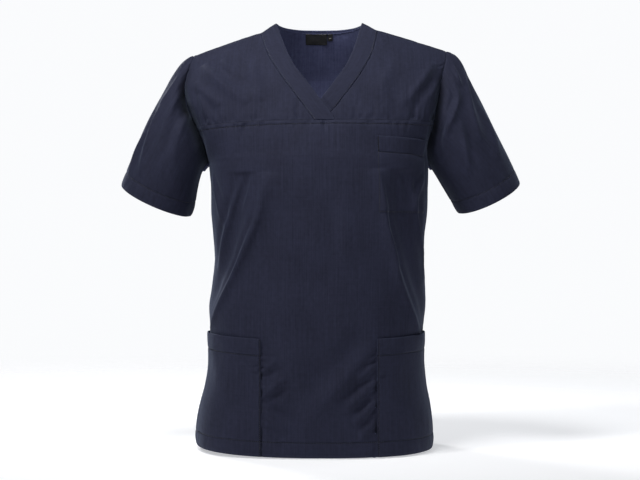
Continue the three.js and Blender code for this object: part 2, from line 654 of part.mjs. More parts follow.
function sleevePoint(sleeve, entry, share) {
  const { side, across, deep, frontDrop } = sleeve;
  const angle = Math.PI * (1 - 2 * entry.round);
  const [towardsTip, forwards] = [Math.cos(angle), Math.sin(angle)];
  const slope = sleeve.slope * degrees;
  const outerEdge = new THREE.Vector3(side * Math.cos(slope), 0, Math.sin(slope));
  const axis = new THREE.Vector3(side * Math.sin(slope), 0, -Math.cos(slope));
  const cuff = vector(sleeve.cuff)
    .addScaledVector(outerEdge, across * towardsTip)
    .addScaledVector(new THREE.Vector3(0, -1, 0), deep * forwards)
    .addScaledVector(axis, frontDrop * (0.5 + forwards));
  const weights = {
    tip: Math.max(0, towardsTip) ** 2,
    under: Math.max(0, -towardsTip) ** 2,
    front: Math.max(0, forwards) ** 2,
    back: Math.max(0, -forwards) ** 2,
  };
  const leave = new THREE.Vector3();
  let arrival = 0;
  for (const [name, weight] of Object.entries(weights)) {
    const [x, y, z] = sleeve[name];
    leave.addScaledVector(new THREE.Vector3(side * x, y, z), weight);
    arrival += weight * sleeveArrival[name];
  }
  const point = bridge(entry.point, leave, cuff, axis.clone().multiplyScalar(arrival), share);
  const centre = vector(sleeve.cuff).addScaledVector(axis, -sleeveLength * (1 - share));
  const outwards = point.clone().sub(centre);
  outwards.addScaledVector(axis, -axis.dot(outwards)).normalize();
  const cap = sleeve.full * weights.tip * bell((share - 0.17) / 0.12);
  return point.addScaledVector(outwards, cap + sleeveRelief(side, entry.round, share));
}

function sleeveRelief(side, round, share) {
  let relief = 0;
  for (const fold of sleeveFolds) {
    if (fold.side !== side || share <= fold.from || share >= fold.to) continue;
    const down = (share - fold.from) / (fold.to - fold.from);
    const off = round - fold.round - fold.leans * down;
    relief += fold.height * Math.sin(Math.PI * down) * bell(off / fold.width);
  }
  return relief;
}

function makeSleeve(sleeve) {
  const ring = armholeRing(sleeve.side);
  const hemShare = 1 - hemDepth / sleeveLength;
  const shares = joinRuns(between(0, 0.12, 2), between(0.12, hemShare, 9), between(hemShare, 1, 1));
  const grid = shares.map((share) => ring.map((entry) => sleevePoint(sleeve, entry, share)));
  const inside = vector(sleeve.cuff).lerp(new THREE.Vector3(sleeve.side * 200, 0, -110), 0.5);
  const wall = (i) => (shares[i] >= hemShare ? hemWall : clothWall);
  addPiece(sleeve.name, navyCloth, grid, { tube: true, inside, wall, inset: { foot: true } });
}

makeFrontPanel();
makeBackPanel();
makeYoke(-1);
makeYoke(1);
sleeves.forEach(makeSleeve);
makeOverBand();
makeUnderBand();
makeBinding();
makePockets();
makeLabel('neck_label', label, 5);
makeLabel('size_tab', sizeTab, 2);
shareSeamNormals();

const garment = new THREE.Group();
for (const piece of pieces) {
  const mesh = new THREE.Mesh(wallGeometry(piece), piece.material);
  mesh.name = piece.name;
  garment.add(mesh);
}

export default garment;
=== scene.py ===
"""The looks of a short-sleeved V-neck scrub top that keeps the form of a wearer who isn't there.

Every panel is rebuilt on the form of its solid, as a thin shell of cloth with creases, puckered
seams, turned hems and rows of stitches. Lengths in the tables are in millimetres, in the frame of
the solids: +Z is up, the front faces -Y and the wearer's left is +X.
"""
import math

import bmesh
import bpy
import numpy as np
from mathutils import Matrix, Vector


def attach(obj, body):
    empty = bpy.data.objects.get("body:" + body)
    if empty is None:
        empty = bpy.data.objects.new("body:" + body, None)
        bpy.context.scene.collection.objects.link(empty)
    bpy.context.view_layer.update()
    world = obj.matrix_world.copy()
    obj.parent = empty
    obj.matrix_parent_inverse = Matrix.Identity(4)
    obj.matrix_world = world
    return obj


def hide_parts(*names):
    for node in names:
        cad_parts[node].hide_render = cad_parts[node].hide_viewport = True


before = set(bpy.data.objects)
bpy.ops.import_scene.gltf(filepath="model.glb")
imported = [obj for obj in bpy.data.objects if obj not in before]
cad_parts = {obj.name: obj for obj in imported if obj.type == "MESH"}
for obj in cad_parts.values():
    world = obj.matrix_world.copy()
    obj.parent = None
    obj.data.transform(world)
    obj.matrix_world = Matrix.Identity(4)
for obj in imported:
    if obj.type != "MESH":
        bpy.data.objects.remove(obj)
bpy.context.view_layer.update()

MM = 0.001
RIGHT, LEFT = -1, 1

# The cloth and the size of a mesh cell on each kind of piece
SHELL = 0.9
CELL = 2.7
BACK_CELL = 3.1
FINE_CELL = 2.2
BAND_CELL = 1.7
CURVE_STEPS = 700
SLEEVE_COLUMNS = 168

# Sewing
HEM_DEPTH = 25
POCKET_HEM = 28
STITCH_PITCH = 3.3
STITCH_LENGTH = 2.4
STITCH_RADIUS = 0.26
STITCH_SIDES = 5
# How far rows of stitches run from the yoke seam, the edge of a pocket and the edge of a band
YOKE_STITCH = 7
EDGE_STITCH = 2.2
BAND_STITCH = 1.7
# Half the width of a seam allowance, and how deep its two faces lie
ALLOWANCE = 3.5
ALLOWANCE_DEPTHS = (2.2, 2.9)
# The slow drape of a piece dies away this near a seam
SEAM_HOLD = 16
CREASE_DEPTH = 1.4

# Neck bands and binding
BAND_WIDTH = 32
BAND_PROUD = 0.9
BAND_UNDERLAP = 8
BAND_DIP = 3.6
BINDING_WIDTH = 6
BINDING_END_WIDTH = 2.6

# Pockets: how far they stand off the front, how far the mouth gapes and over how many rows, the
# height of the puckers at their edges, the depth and width of the drawn edge, the depth of the
# stitched furrow and how much painted shade darkens the edge
POCKET_LINE = {RIGHT: 97.5, LEFT: 95}
BREAST_POCKET_WIDTH = 110
HIP_POCKET = {
    "stand": 1.5, "gape": 3.6, "gape_rows": 2.0, "puckers": 2.6, "draw": 1.5, "draw_width": 1.8,
    "furrow": 0.45, "shade": 0.5,
}
BREAST_POCKET = {
    "stand": 0.6, "gape": 1.2, "gape_rows": 0.8, "puckers": 0.4, "draw": 1.0, "draw_width": 3.0,
    "furrow": 0.15, "shade": 0.1,
}
HIP_POCKET_TOP_Z = -505

# How far the armholes sink in at the front, between two heights, and how much painted shade darkens them
ARMHOLE_SINK = {RIGHT: 36, LEFT: 24}
ARMHOLE_TOP_Z = -28
ARMHOLE_FOOT_Z = -228
ARMHOLE_PAINTED_SHADE = 1.5

# Colours of the cloth, and how much paler its reverse is made, partly as the paler back of the twill and
# partly as painted light inside the top
NAVY_DARK = (0.0096, 0.0106, 0.0226)
NAVY_LIGHT = (0.0245, 0.0272, 0.0546)
NAVY_WORN_AND_HIGHLIT = (0.042, 0.050, 0.084)
REVERSE_PALENESS_AND_LIGHT_GAIN = 3.0
TWILL_PITCH = 0.8
WARP_PITCH = 0.4
WEFT_PITCH = 0.45

# The stage, in metres
FLOOR_Z = -0.7015
FLOOR_RADIUS = 2.6
BACKDROP_RADIUS = 9


def table(names, rows):
    """Rows of numbers as one dictionary of columns."""
    columns = list(zip(*rows))
    return {name: np.array(column, float) for name, column in zip(names.split(), columns)}


TRUNK = table("z front_y back_y right left seam_y right_z left_z", [
    (-700, -153, 130, 212, 194, 4, -693, -697),
    (-675, -152, 129, 213.5, 195, 4, -668, -672),
    (-634, -151, 126, 209, 191, 3, -630, -633),
    (-592, -150, 121, 199.5, 183, 3, -590, -592),
    (-550, -149, 116, 192.5, 178, 2, -549, -549),
    (-506, -148, 111, 191.5, 180, 2, -498, -498),
    (-460, -147.5, 107, 193, 184.5, 2, -456, -456),
    (-420, -147, 105, 188, 184, 2, -418, -418),
    (-375, -146.5, 105, 184, 182, 2, -375, -375),
    (-335, -146, 107, 186, 182.5, 2, -335, -335),
    (-295, -145, 111, 189, 186, 2, -295, -295),
    (-250, -143.5, 116, 190, 187.5, 2, -250, -250),
    (-207, -140, 121, 193, 189, 2, -207, -207),
])
FRONT = table("z y rx ry rz lx ly lz turn", [
    (-188, -136, 196, -33, -194, 185.5, -34, -193, 76),
    (-165, -130.5, 202, -51, -172, 186.5, -52, -170, 67),
    (-139, -121, 212.5, -56, -147, 195.5, -58.5, -138, 62),
    (-122, -113.5, 222.5, -54, -126, 199, -57.5, -118, 60),
    (-100, -103.5, 232, -49, -103, 203, -52, -96, 57),
    (-70, -88.5, 235, -39, -75, 208.5, -42, -69, 53),
    (-42, -72.5, 231.5, -27, -54, 213.5, -31, -48, 47),
    (-14, -54, 227.5, -17, -38, 218, -19, -31, 41),
    (15, -36, 224, -10, -27, 220.5, -10, -19, 35),
    (46, -17, 221, -4, -19, 221, -4, -11, 30),
])
# The outer edges of the neck bands and the inner edge of the right one, from the yoke seam up
NECK = table("right left band", [
    (-9.7, 8, 25),
    (-21.5, 21.2, 14.5),
    (-37, 38, -1.6),
    (-58.5, 60, -23),
    (-76, 76.5, -43),
    (-89, 88.5, -57),
    (-97, 95, -67.5),
    (-102, 99, -76),
])
BACK = table("z y rx ry rz lx ly lz turn", [
    (-188, 124, 196, 36, -194, 187, 36, -193, 76),
    (-165, 126, 202, 54, -172, 188, 54, -170, 67),
    (-138, 127, 212.5, 62, -146, 195.5, 62, -141, 62),
    (-108, 125.5, 226, 61, -112, 202, 61, -110, 59),
    (-78, 121, 231, 53, -84, 207.5, 53, -79, 56),
    (-50, 114, 229, 41, -58, 213, 41, -51, 53),
])
BACK_NECK = [(0, 74, 31), (32, 70, 31.5), (57, 51, 33), (71, 24, 35), (75.5, -3, 35.5)]
BAND_CORNER_Z = 38.5
NECK_COLUMN, CORNER_COLUMN = 0.4, 0.5

# The main folds: three points down the cloth, as heights and angles round from the centre line,
# then the ridge's height and width and the hollow beyond it
FRONT_FOLDS = [
    (RIGHT, (-228, 24), (-402, 48.5), (-505, 76), 7, 19, 8, 34),
    (LEFT, (-222, 28), (-399, 41), (-515, 66), 7, 19, 9, 36),
]
BACK_FOLDS = [
    (RIGHT, (-130, 22), (-420, 30), (-730, 27), 6, 22, 5, 40),
    (RIGHT, (-230, 54), (-430, 60), (-660, 66), 5, 19, 4, 32),
    (LEFT, (-140, 25), (-430, 24), (-730, 33), 6, 22, 5, 40),
    (LEFT, (-230, 52), (-400, 61), (-640, 64), 5, 19, 4, 32),
]
FOLD_REACH = 165

SLEEVES = {
    LEFT: {
        "cuff": (291.5, -4, -260.5), "across": 60, "deep": 64, "slope": 26.9,
        "front_drop": 12, "full": 5,
        "tip": (92, 0, -20), "front": (66, -52, -70), "back": (72, 44, -72), "under": (45, 0, -74),
    },
    RIGHT: {
        "cuff": (-283, -4, -264.5), "across": 66, "deep": 66, "slope": 24.7,
        "front_drop": 12, "full": 0,
        "tip": (134, 0, -41), "front": (60, -58, -64), "back": (66, 48, -66), "under": (62, 0, -26),
    },
}
SLEEVE_ARRIVAL = {"tip": 150, "front": 110, "back": 110, "under": 70}
SLEEVE_LENGTH = 245
# Where round the sleeve, how far it leans, its height and width, and where it starts and ends
SLEEVE_FOLDS = {
    LEFT: [(0.27, -0.04, 4.5, 0.055, 0.04, 0.8), (0.41, -0.02, 3.6, 0.05, 0.04, 0.85),
           (0.68, 0.03, 4, 0.06, 0.1, 0.95)],
    RIGHT: [(0.42, 0.02, 3.6, 0.05, 0.15, 0.95), (0.23, 0.03, 4, 0.055, 0.04, 0.8),
            (0.7, -0.03, 4, 0.06, 0.1, 0.95)],
}


# Curves and surfaces
def mix(a, b, share):
    return a + (b - a) * share


def ease(value):
    value = np.clip(value, 0, 1)
    return value * value * (3 - 2 * value)


def bell(value):
    return np.exp(-np.square(value))


def through(values):
    """A smooth curve through evenly numbered values or points."""
    values = np.asarray(values, float)
    last = len(values) - 1
    padded = np.concatenate([[2 * values[0] - values[1]], values, [2 * values[-1] - values[-2]]])

    def at(place):
        place = np.asarray(place, float)
        i = np.clip(np.floor(place), 0, last - 1).astype(int)
        s = place - i
        if values.ndim > 1:
            s = s[..., None]
        a, b, c, d = (padded[i + k] for k in range(4))
        return b + 0.5 * s * (c - a + s * (2 * a - 5 * b + 4 * c - d + s * (3 * (b - c) + d - a)))

    return at


def bridge(start, leave, end, arrive, share):
    """A cubic from one point to another that leaves and arrives in given directions."""
    s = np.asarray(share, float)[..., None]
    s2, s3 = s * s, s * s * s
    return ((2 * s3 - 3 * s2 + 1) * start + (s3 - 2 * s2 + s) * leave
            + (3 * s2 - 2 * s3) * end + (s3 - s2) * arrive)


def unit(vectors):
    length = np.linalg.norm(vectors, axis=-1, keepdims=True)
    return vectors / np.maximum(length, 1e-9)


def point(x, y, z):
    x, y, z = np.broadcast_arrays(x, y, z)
    return np.stack([x, y, z], axis=-1).astype(float)


UNDERARM = len(TRUNK["z"]) - 1
YOKE_SEAM = UNDERARM + 3
FRONT_TOP = UNDERARM + len(FRONT["z"])
ROLL_ROW = UNDERARM + len(BACK["z"])
BACK_TOP = ROLL_ROW + 1
HIP_POCKET_MOUTH_ROW = 5
BREAST_POCKET_FOOT_ROW = 10
BREAST_POCKET_MOUTH_ROW = UNDERARM + 2


def panel(depths, upper, square):
    """The front or back: a point for u, from -1 to 1 across, and v, the number of the row."""
    centre_y = through(np.concatenate([depths, upper["y"]]))
    centre_z = through(np.concatenate([TRUNK["z"], upper["z"]]))
    turn_at = through(np.concatenate([np.full(UNDERARM + 1, 90.0), upper["turn"]]))
    edges = {}
    for side, half, z, letter in ((RIGHT, "right", "right_z", "r"), (LEFT, "left", "left_z", "l")):
        low = point(side * TRUNK[half], TRUNK["seam_y"], TRUNK[z])
        high = point(side * upper[letter + "x"], upper[letter + "y"], upper[letter + "z"])
        edges[side] = (through(low), through(np.concatenate([low[-1:], high])))

    def at(u, v):
        u, v = np.broadcast_arrays(np.asarray(u, float), np.asarray(v, float))
        edge = np.empty(u.shape + (3,))
        for side, (low, high) in edges.items():
            here = (u < 0) if side == RIGHT else (u >= 0)
            both = np.where((v <= UNDERARM)[..., None], low(np.minimum(v, UNDERARM)),
                            high(np.maximum(v - UNDERARM, 0)))
            edge[here] = both[here]
        full = np.radians(turn_at(v))
        angle = np.abs(u) * full
        share = ((np.sin(angle) + square * np.sin(3 * angle))
                 / (np.sin(full) + square * np.sin(3 * full)))
        bow = ((1 - square - np.cos(angle) + square * np.cos(3 * angle))
               / (1 - square - np.cos(full) + square * np.cos(3 * full)))
        dip = 2 - 0.85 * ease((v - YOKE_SEAM - 1) / (FRONT_TOP - YOKE_SEAM - 1))
        return point(edge[..., 0] * share, mix(centre_y(v), edge[..., 1], bow),
                     mix(centre_z(v), edge[..., 2], np.power(share, dip)))

    at.turn = turn_at
    return at


plain_front = panel(TRUNK["front_y"], FRONT, 0.045)
back_sections = panel(TRUNK["back_y"], BACK, 0.035)


def u_at_x(surface, x, v):
    """The u at which a surface reaches a given x on row v."""
    x, v = np.broadcast_arrays(np.asarray(x, float), np.asarray(v, float))
    side = np.where(x < 0, -1.0, 1.0)
    low, high = np.zeros(x.shape), np.ones(x.shape)
    for _ in range(30):
        middle = (low + high) / 2
        short = np.abs(surface(side * middle, v)[..., 0]) < np.abs(x)
        low, high = np.where(short, middle, low), np.where(short, high, middle)
    return side * (low + high) / 2


band_outer = {RIGHT: through(NECK["right"]), LEFT: through(NECK["left"])}
band_inner = through(NECK["band"])


def over_band_inner_x(v):
    return band_inner(np.asarray(v, float) - YOKE_SEAM)


def neck_edge_x(side, v):
    """The edge of a yoke along its neck band. On the left it stops at the band that passes over."""
    x = band_outer[side](np.asarray(v, float) - YOKE_SEAM)
    return x if side == RIGHT else np.maximum(x, over_band_inner_x(v))


def neck_end(side):
    x, y, z = BACK_NECK[-1]
    return np.array([side * x, y, z], float)


corner_u = {}
for side in (RIGHT, LEFT):
    corner_u[side] = u_at_x(plain_front, neck_edge_x(side, FRONT_TOP), FRONT_TOP)


def shoulder_line(side, out):
    """Along the end of the neck band, then along the shoulder seam."""
    out = np.asarray(out, float)
    corner = plain_front(corner_u[side], FRONT_TOP)
    first = np.clip((out - NECK_COLUMN) / (CORNER_COLUMN - NECK_COLUMN), 0, 1)[..., None]
    second = np.clip((out - CORNER_COLUMN) / (1 - CORNER_COLUMN), 0, 1)
    along_band = neck_end(side) + (corner - neck_end(side)) * first
    along_seam = plain_front(mix(corner_u[side], side, second), FRONT_TOP)
    return np.where((out < CORNER_COLUMN)[..., None], along_band, along_seam)


neck_curve = through(BACK_NECK)


def plain_back(u, v):
    """The back rolls over the shoulder blades to the shoulder line and rises to the neckline."""
    u, v = np.broadcast_arrays(np.asarray(u, float), np.asarray(v, float))
    result = back_sections(u, np.minimum(v, ROLL_ROW))
    high = v > ROLL_ROW
    if not high.any():
        return result
    side = np.where(u[high] < 0, -1.0, 1.0)
    out = np.abs(u[high])
    neck_share = np.minimum(1, out / NECK_COLUMN)
    shoulder_share = np.clip((out - NECK_COLUMN) / (1 - NECK_COLUMN), 0, 1)
    on_neck = neck_curve(neck_share * (len(BACK_NECK) - 1))
    on_neck[..., 0] *= side
    on_shoulder = np.where((side < 0)[..., None],
                           shoulder_line(RIGHT, out), shoulder_line(LEFT, out))
    end = np.where((out < NECK_COLUMN)[..., None], on_neck, on_shoulder)
    leave = point(side * 9 * out, mix(-30, -24, out), mix(78, 44, out))
    arrive_neck = point(-side * 12 * neck_share, mix(-26, -18, neck_share), 50)
    arrive_shoulder = point(0, mix(-64, -40, shoulder_share), mix(-56, -18, shoulder_share))
    blend = (1 - ease((out - NECK_COLUMN + 0.04) / 0.17))[..., None]
    arrive = arrive_shoulder + (arrive_neck - arrive_shoulder) * blend
    result[high] = bridge(back_sections(u[high], ROLL_ROW), leave, end, arrive, v[high] - ROLL_ROW)
    return result


def surface_normal(surface, facing, u, v):
    """The direction away from the wearer. facing is 1 on the front and -1 on the back."""
    step = 0.01
    top = FRONT_TOP if facing > 0 else BACK_TOP
    sideways = surface(np.minimum(1, u + step), v) - surface(np.maximum(-1, u - step), v)
    upwards = surface(u, np.minimum(top, v + step)) - surface(u, np.maximum(0, v - step))
    return unit(np.cross(sideways, upwards)) * facing


def fold_relief(folds, u, angle, z):
    """The height of the main folds, each a ridge with a hollow beyond it."""
    relief = np.zeros(np.shape(z))
    for side, top, middle, foot, height, width, valley, beyond in folds:
        length = top[0] - foot[0]
        down = np.clip((top[0] - z) / length, 0, 1)
        middle_share = (top[0] - middle[0]) / length
        bend = middle[1] - mix(top[1], foot[1], middle_share)
        bow = down * (1 - down) / (middle_share * (1 - middle_share))
        line = mix(top[1], foot[1], down) + bend * bow
        off = np.radians(angle - line) * FOLD_REACH
        fade = np.sin(np.pi * np.sqrt(down)) ** 2
        fade = np.power(np.maximum(fade, 0), 0.4) * (np.sign(u) == side)
        hollow = valley * bell((off - beyond) / (1.3 * width))
        relief += fade * (height * bell(off / width) - hollow)
    return relief


def folded(surface, folds, facing, last_row):
    """A surface with the main folds on it."""
    def at(u, v):
        u, v = np.broadcast_arrays(np.asarray(u, float), np.asarray(v, float))
        base = surface(u, v)
        angle = np.abs(u) * turns[facing](np.minimum(v, last_row))
        relief = fold_relief(folds, u, angle, base[..., 2]) * (1 - np.abs(u) ** 10)
        return base + surface_normal(surface, facing, u, v) * relief[..., None]

    return at


turns = {1: plain_front.turn, -1: back_sections.turn}
front = folded(plain_front, FRONT_FOLDS, 1, FRONT_TOP)
back = folded(plain_back, BACK_FOLDS, -1, ROLL_ROW)


# Random hills, the same on every run
LATTICE = 97


def hills(x, y, seed):
    """Smooth hills and hollows about 1 apart, from -1 to 1."""
    lattice = np.random.default_rng(seed).uniform(-1, 1, (LATTICE, LATTICE))
    x, y = np.broadcast_arrays(np.asarray(x, float), np.asarray(y, float))
    i, j = np.floor(x).astype(int), np.floor(y).astype(int)
    s, t = ease(x - i), ease(y - j)
    left, right = i % LATTICE, (i + 1) % LATTICE
    low, high = j % LATTICE, (j + 1) % LATTICE
    below = mix(lattice[left, low], lattice[right, low], s)
    above = mix(lattice[left, high], lattice[right, high], s)
    return mix(below, above, t)


def stations(length, cell, marks=()):
    """Positions along a length, closer together at both ends and near each mark."""
    near = [0, 0.5, 1.1, 1.9, 3.0, 4.5, 6.5]
    wanted = near + [length - d for d in near]
    for mark in marks:
        middle = mark if mark >= 0 else length + mark
        wanted += [middle + d for d in (-2.0, -1.1, -0.5, 0, 0.5, 1.1, 2.0)]
    wanted = sorted(d for d in wanted if 0 <= d <= length)
    result = [wanted[0]]
    for here in wanted[1:]:
        start = result[-1]
        gap = here - start
        if gap < 0.4:
            continue
        cells = max(1, math.ceil(gap / cell - 0.25))
        result += [start + gap * (k + 1) / cells for k in range(cells)]
    result[-1] = length
    return np.array(result)


def lengths_of(points):
    """The length gone at each point of a line."""
    return np.concatenate([[0], np.cumsum(np.linalg.norm(np.diff(points, axis=0), axis=-1))])


def levels_between(surface, u, low, high, cell, marks=()):
    """Row numbers spaced evenly along the cloth at one u."""
    v = np.linspace(low, high, CURVE_STEPS)
    gone = lengths_of(surface(np.full(v.shape, float(u)), v))
    return np.interp(stations(gone[-1], cell, marks), gone, v)


def columns_between(surface, v, low, high, cell):
    """Values of u spaced evenly along the cloth on one row."""
    u = np.linspace(low, high, CURVE_STEPS)
    gone = lengths_of(surface(u, np.full(u.shape, float(v))))
    return np.interp(stations(gone[-1], cell), gone, u)


class Sheet:
    """A grid of cloth. Lengths across and up are measured along the cloth. A tube closes on itself."""

    def __init__(self, name, points, outwards, tube=False, centre_column=None, offset=None):
        self.name = name
        self.base = points
        self.tube = tube
        steps = np.linalg.norm(np.diff(points, axis=1), axis=-1)
        self.across = np.concatenate([np.zeros((len(points), 1)), np.cumsum(steps, axis=1)], axis=1)
        steps = np.linalg.norm(np.diff(points, axis=0), axis=-1)
        self.up = np.concatenate([np.zeros((1, points.shape[1])), np.cumsum(steps, axis=0)], axis=0)
        self.from_start = self.across
        self.from_end = self.across[:, -1:] - self.across
        self.from_foot = self.up
        self.from_top = self.up[-1:] - self.up
        self.offset = np.zeros(len(points)) if offset is None else offset
        if centre_column is not None:
            self.offset = self.across[:, centre_column]
        self.relief = np.zeros(points.shape[:2])
        # Positive values pale the cloth where it is rubbed, and beside seams and stitches as a painted
        # highlight; negative values are painted shade
        self.wear_and_shade = np.zeros(points.shape[:2])
        self.thickness = np.full(points.shape[:2], float(SHELL))
        normals = self.normals_of(points)
        self.flip = bool(np.sum(normals * outwards) < 0)
        self.normals = -normals if self.flip else normals

    def normals_of(self, points):
        if self.tube:
            around = np.concatenate([points[:, -1:], points, points[:, :1]], axis=1)
            sideways = around[:, 2:] - around[:, :-2]
        else:
            sideways = np.gradient(points, axis=1)
        return unit(np.cross(sideways, np.gradient(points, axis=0)))

    def plane(self):
        """Cloth coordinates, measured from the centre line where there is one."""
        return self.across - self.offset[:, None], self.up

    def place(self, x, z, facing):
        """Where on the cloth a point is that is seen at x, z. facing is -1 from the front."""
        distance = np.square(self.base[..., 0] - x) + np.square(self.base[..., 2] - z)
        distance = distance + 1e6 * (self.normals[..., 1] * facing < -0.25)
        i, j = np.unravel_index(np.argmin(distance), distance.shape)
        across, up = self.plane()
        return across[i, j], up[i, j]

    def finish(self):
        """Makes the outer and inner faces from the relief."""
        self.outer = self.base + self.normals * self.relief[..., None]
        normals = self.normals_of(self.outer)
        self.final_normals = -normals if self.flip else normals
        inwards = unit(self.final_normals + 0.6 * self.normals)
        self.inner = self.outer - inwards * self.thickness[..., None]
        return self


def distance_to_line(x, y, line):
    """Signed distance from a run of points, and the share of the way along it."""
    line = np.asarray(line, float)
    lengths = np.linalg.norm(np.diff(line, axis=0), axis=1)
    total = max(lengths.sum(), 1e-6)
    best = np.full(x.shape, 1e9)
    signed = np.zeros(x.shape)
    share = np.zeros(x.shape)
    gone = 0.0
    for (ax, ay), (bx, by), length in zip(line[:-1], line[1:], lengths):
        dx, dy = (bx - ax) / max(length, 1e-6), (by - ay) / max(length, 1e-6)
        along = (x - ax) * dx + (y - ay) * dy
        held = np.clip(along, 0, length)
        distance = np.hypot(x - ax - held * dx, y - ay - held * dy)
        side = np.sign((x - ax) * dy - (y - ay) * dx)
        closer = distance < best
        best = np.where(closer, distance, best)
        signed = np.where(closer, distance * side, signed)
        share = np.where(closer, (gone + along) / total, share)
        gone += length
    return signed, share


def add_creases(sheet, creases, facing=-1):
    """Soft ridges and troughs along given lines, fading at both ends."""
    across, up = sheet.plane()
    for places, height, width, hollow in creases:
        line = np.array([sheet.place(x, z, facing) for x, z in places], float)
        if len(line) > 2:
            line = through(line)(np.linspace(0, len(line) - 1, 14))
        off, share = distance_to_line(across, up, line)
        fade = np.sin(np.pi * np.clip(0.5 + (share - 0.5) * 0.94, 0, 1)) ** 0.7
        fade = np.where((share < -0.03) | (share > 1.03), 0, fade)
        wide = width * (0.8 + 0.4 * np.clip(share, 0, 1))
        shape = 1 / np.cosh(np.clip(off / (0.62 * wide), -30, 30))
        if hollow:
            beside = off - math.copysign(2.0, hollow) * wide
            shape = shape - abs(hollow) * bell(beside / (1.2 * wide))
        sheet.relief += CREASE_DEPTH * height * fade * shape


def add_drape(sheet, seed, amount, sewn):
    """Slow hills and fine crumple over a piece, held flat along its sewn edges."""
    across, up = sheet.plane()
    free = np.ones(sheet.relief.shape)
    for distance in sewn:
        free = free * ease(distance / SEAM_HOLD)
    slow = amount * hills(across / 62 + 0.3 * hills(across / 90, up / 90, seed + 5), up / 105, seed)
    slow = slow + 0.35 * amount * hills(across / 23, up / 41, seed + 1)
    sheet.relief += free * slow
    sheet.relief += 0.10 * hills(across / 8.5, up / 13, seed + 2)


def add_puckers(sheet, distance, along, seed, amount=0.5, pitch=9.0, reach=14.0):
    """Small ridges that leave a seam at right angles and die away."""
    uneven = 0.55 + 0.45 * hills(along / 46, 0, seed + 3)
    bend = along + 1.5 * hills(along / 19, distance / 21, seed + 4)
    ridges = hills(bend / pitch, 0.13 * distance / pitch, seed)
    ridges = 0.6 * ridges + 0.9 * (0.3 - np.abs(ridges))
    local = reach * (0.75 + 0.6 * hills(along / 13, 3.1, seed + 6))
    held = ease(distance / 6)
    sheet.relief += amount * uneven * ridges * bell(distance / local) * held


def add_seam(sheet, distance, depth=0.9, width=1.5):
    """The cloth rolls inwards where it is sewn to its neighbour, with painted shade along the seam and a
    painted highlight beside it.
    """
    sheet.relief -= depth * bell(distance / width)
    sheet.wear_and_shade += 0.2 * bell((distance - 2.2) / 1.3) - 0.4 * bell(distance / 0.9)


def add_furrow(sheet, distance, depth=0.4, width=0.9):
    """The thread of a row of stitches draws the cloth in, with painted shade in the furrow and a faint
    painted highlight either side.
    """
    sheet.relief -= depth * bell(distance / width)
    sheet.wear_and_shade += 0.12 * bell((np.abs(distance) - 1.8) / 0.9) - 0.6 * bell(distance / 0.8)


def add_hem(sheet, distance, depth, seed, along):
    """A turned hem: a little fuller than the cloth, with roping between its edge and its stitches."""
    inside = ease((depth - distance) / 1.5)
    sheet.thickness += 0.9 * inside
    full = np.sin(np.pi * np.clip(distance / depth, 0, 1))
    sheet.relief += inside * 0.45 * np.maximum(full, 0)
    slanted = along + 0.55 * distance
    roping = hills(slanted / 8.5, 0, seed) * (0.5 + 0.5 * hills(along / 60, 7.7, seed + 1))
    sheet.relief += inside * 0.7 * np.maximum(full, 0) * roping
    sheet.relief -= 0.5 * bell(distance / 1.2)
    sheet.wear_and_shade += 0.6 * bell(distance / 1.6)
    add_furrow(sheet, distance - depth, 0.9, 1.1)


# Meshes
def mesh_from(name, vertices, faces, cloth=None, wear_and_shade=None):
    """A mesh from vertices in millimetres, with its cloth coordinates, its rubbed paleness and its painted
    shade and highlights.
    """
    mesh = bpy.data.meshes.new(name)
    mesh.from_pydata((np.asarray(vertices) * MM).tolist(), [], faces)
    mesh.validate(clean_customdata=False)
    mesh.polygons.foreach_set("use_smooth", np.ones(len(mesh.polygons), bool))
    if cloth is not None:
        layer = mesh.attributes.new("cloth", "FLOAT_VECTOR", "POINT")
        layer.data.foreach_set("vector", np.asarray(cloth, np.float32).ravel())
    if wear_and_shade is not None:
        layer = mesh.attributes.new("wear_and_shade", "FLOAT", "POINT")
        layer.data.foreach_set("value", np.asarray(wear_and_shade, np.float32).ravel())
    mesh.update()
    piece = bpy.data.objects.new(name, mesh)
    bpy.context.scene.collection.objects.link(piece)
    return piece


def dress(piece, material):
    """Gives a piece its material and lets it ride on the body."""
    piece.data.materials.append(material)
    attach(piece, "root")


def build_sheet(sheet, material, node):
    """The closed shell of a sheet, riding on the body in place of its solid."""
    rows, columns = sheet.outer.shape[:2]
    lift = rows * columns
    vertices = np.concatenate([sheet.outer.reshape(-1, 3), sheet.inner.reshape(-1, 3)])
    index = np.arange(lift).reshape(rows, columns)
    if sheet.tube:
        index = np.concatenate([index, index[:, :1]], axis=1)
    a, b = index[:-1, :-1], index[:-1, 1:]
    c, d = index[1:, 1:], index[1:, :-1]
    outer = np.stack([a, b, c, d], axis=-1).reshape(-1, 4)
    inner = outer[:, ::-1] + lift
    rims = [index[0, ::-1], index[-1]]
    if not sheet.tube:
        rims += [index[:, 0], index[::-1, -1]]
    sides = []
    for rim in rims:
        sides.append(np.stack([rim[:-1], rim[1:], rim[1:] + lift, rim[:-1] + lift], axis=-1))
    faces = np.concatenate([outer, inner] + [side.reshape(-1, 4) for side in sides])
    if sheet.flip:
        faces = faces[:, ::-1]
    across, up = sheet.plane()
    cloth = np.stack([across, up, np.zeros_like(up)], axis=-1).reshape(-1, 3)
    reverse = cloth + np.array([0, 0, 1.0])
    wear_and_shade = np.clip(sheet.wear_and_shade, -1, 1).reshape(-1)
    piece = mesh_from(sheet.name, vertices, faces.tolist(), np.concatenate([cloth, reverse]),
                      np.concatenate([wear_and_shade, wear_and_shade * 0.3]))
    dress(piece, material)
    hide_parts(node)
    return piece


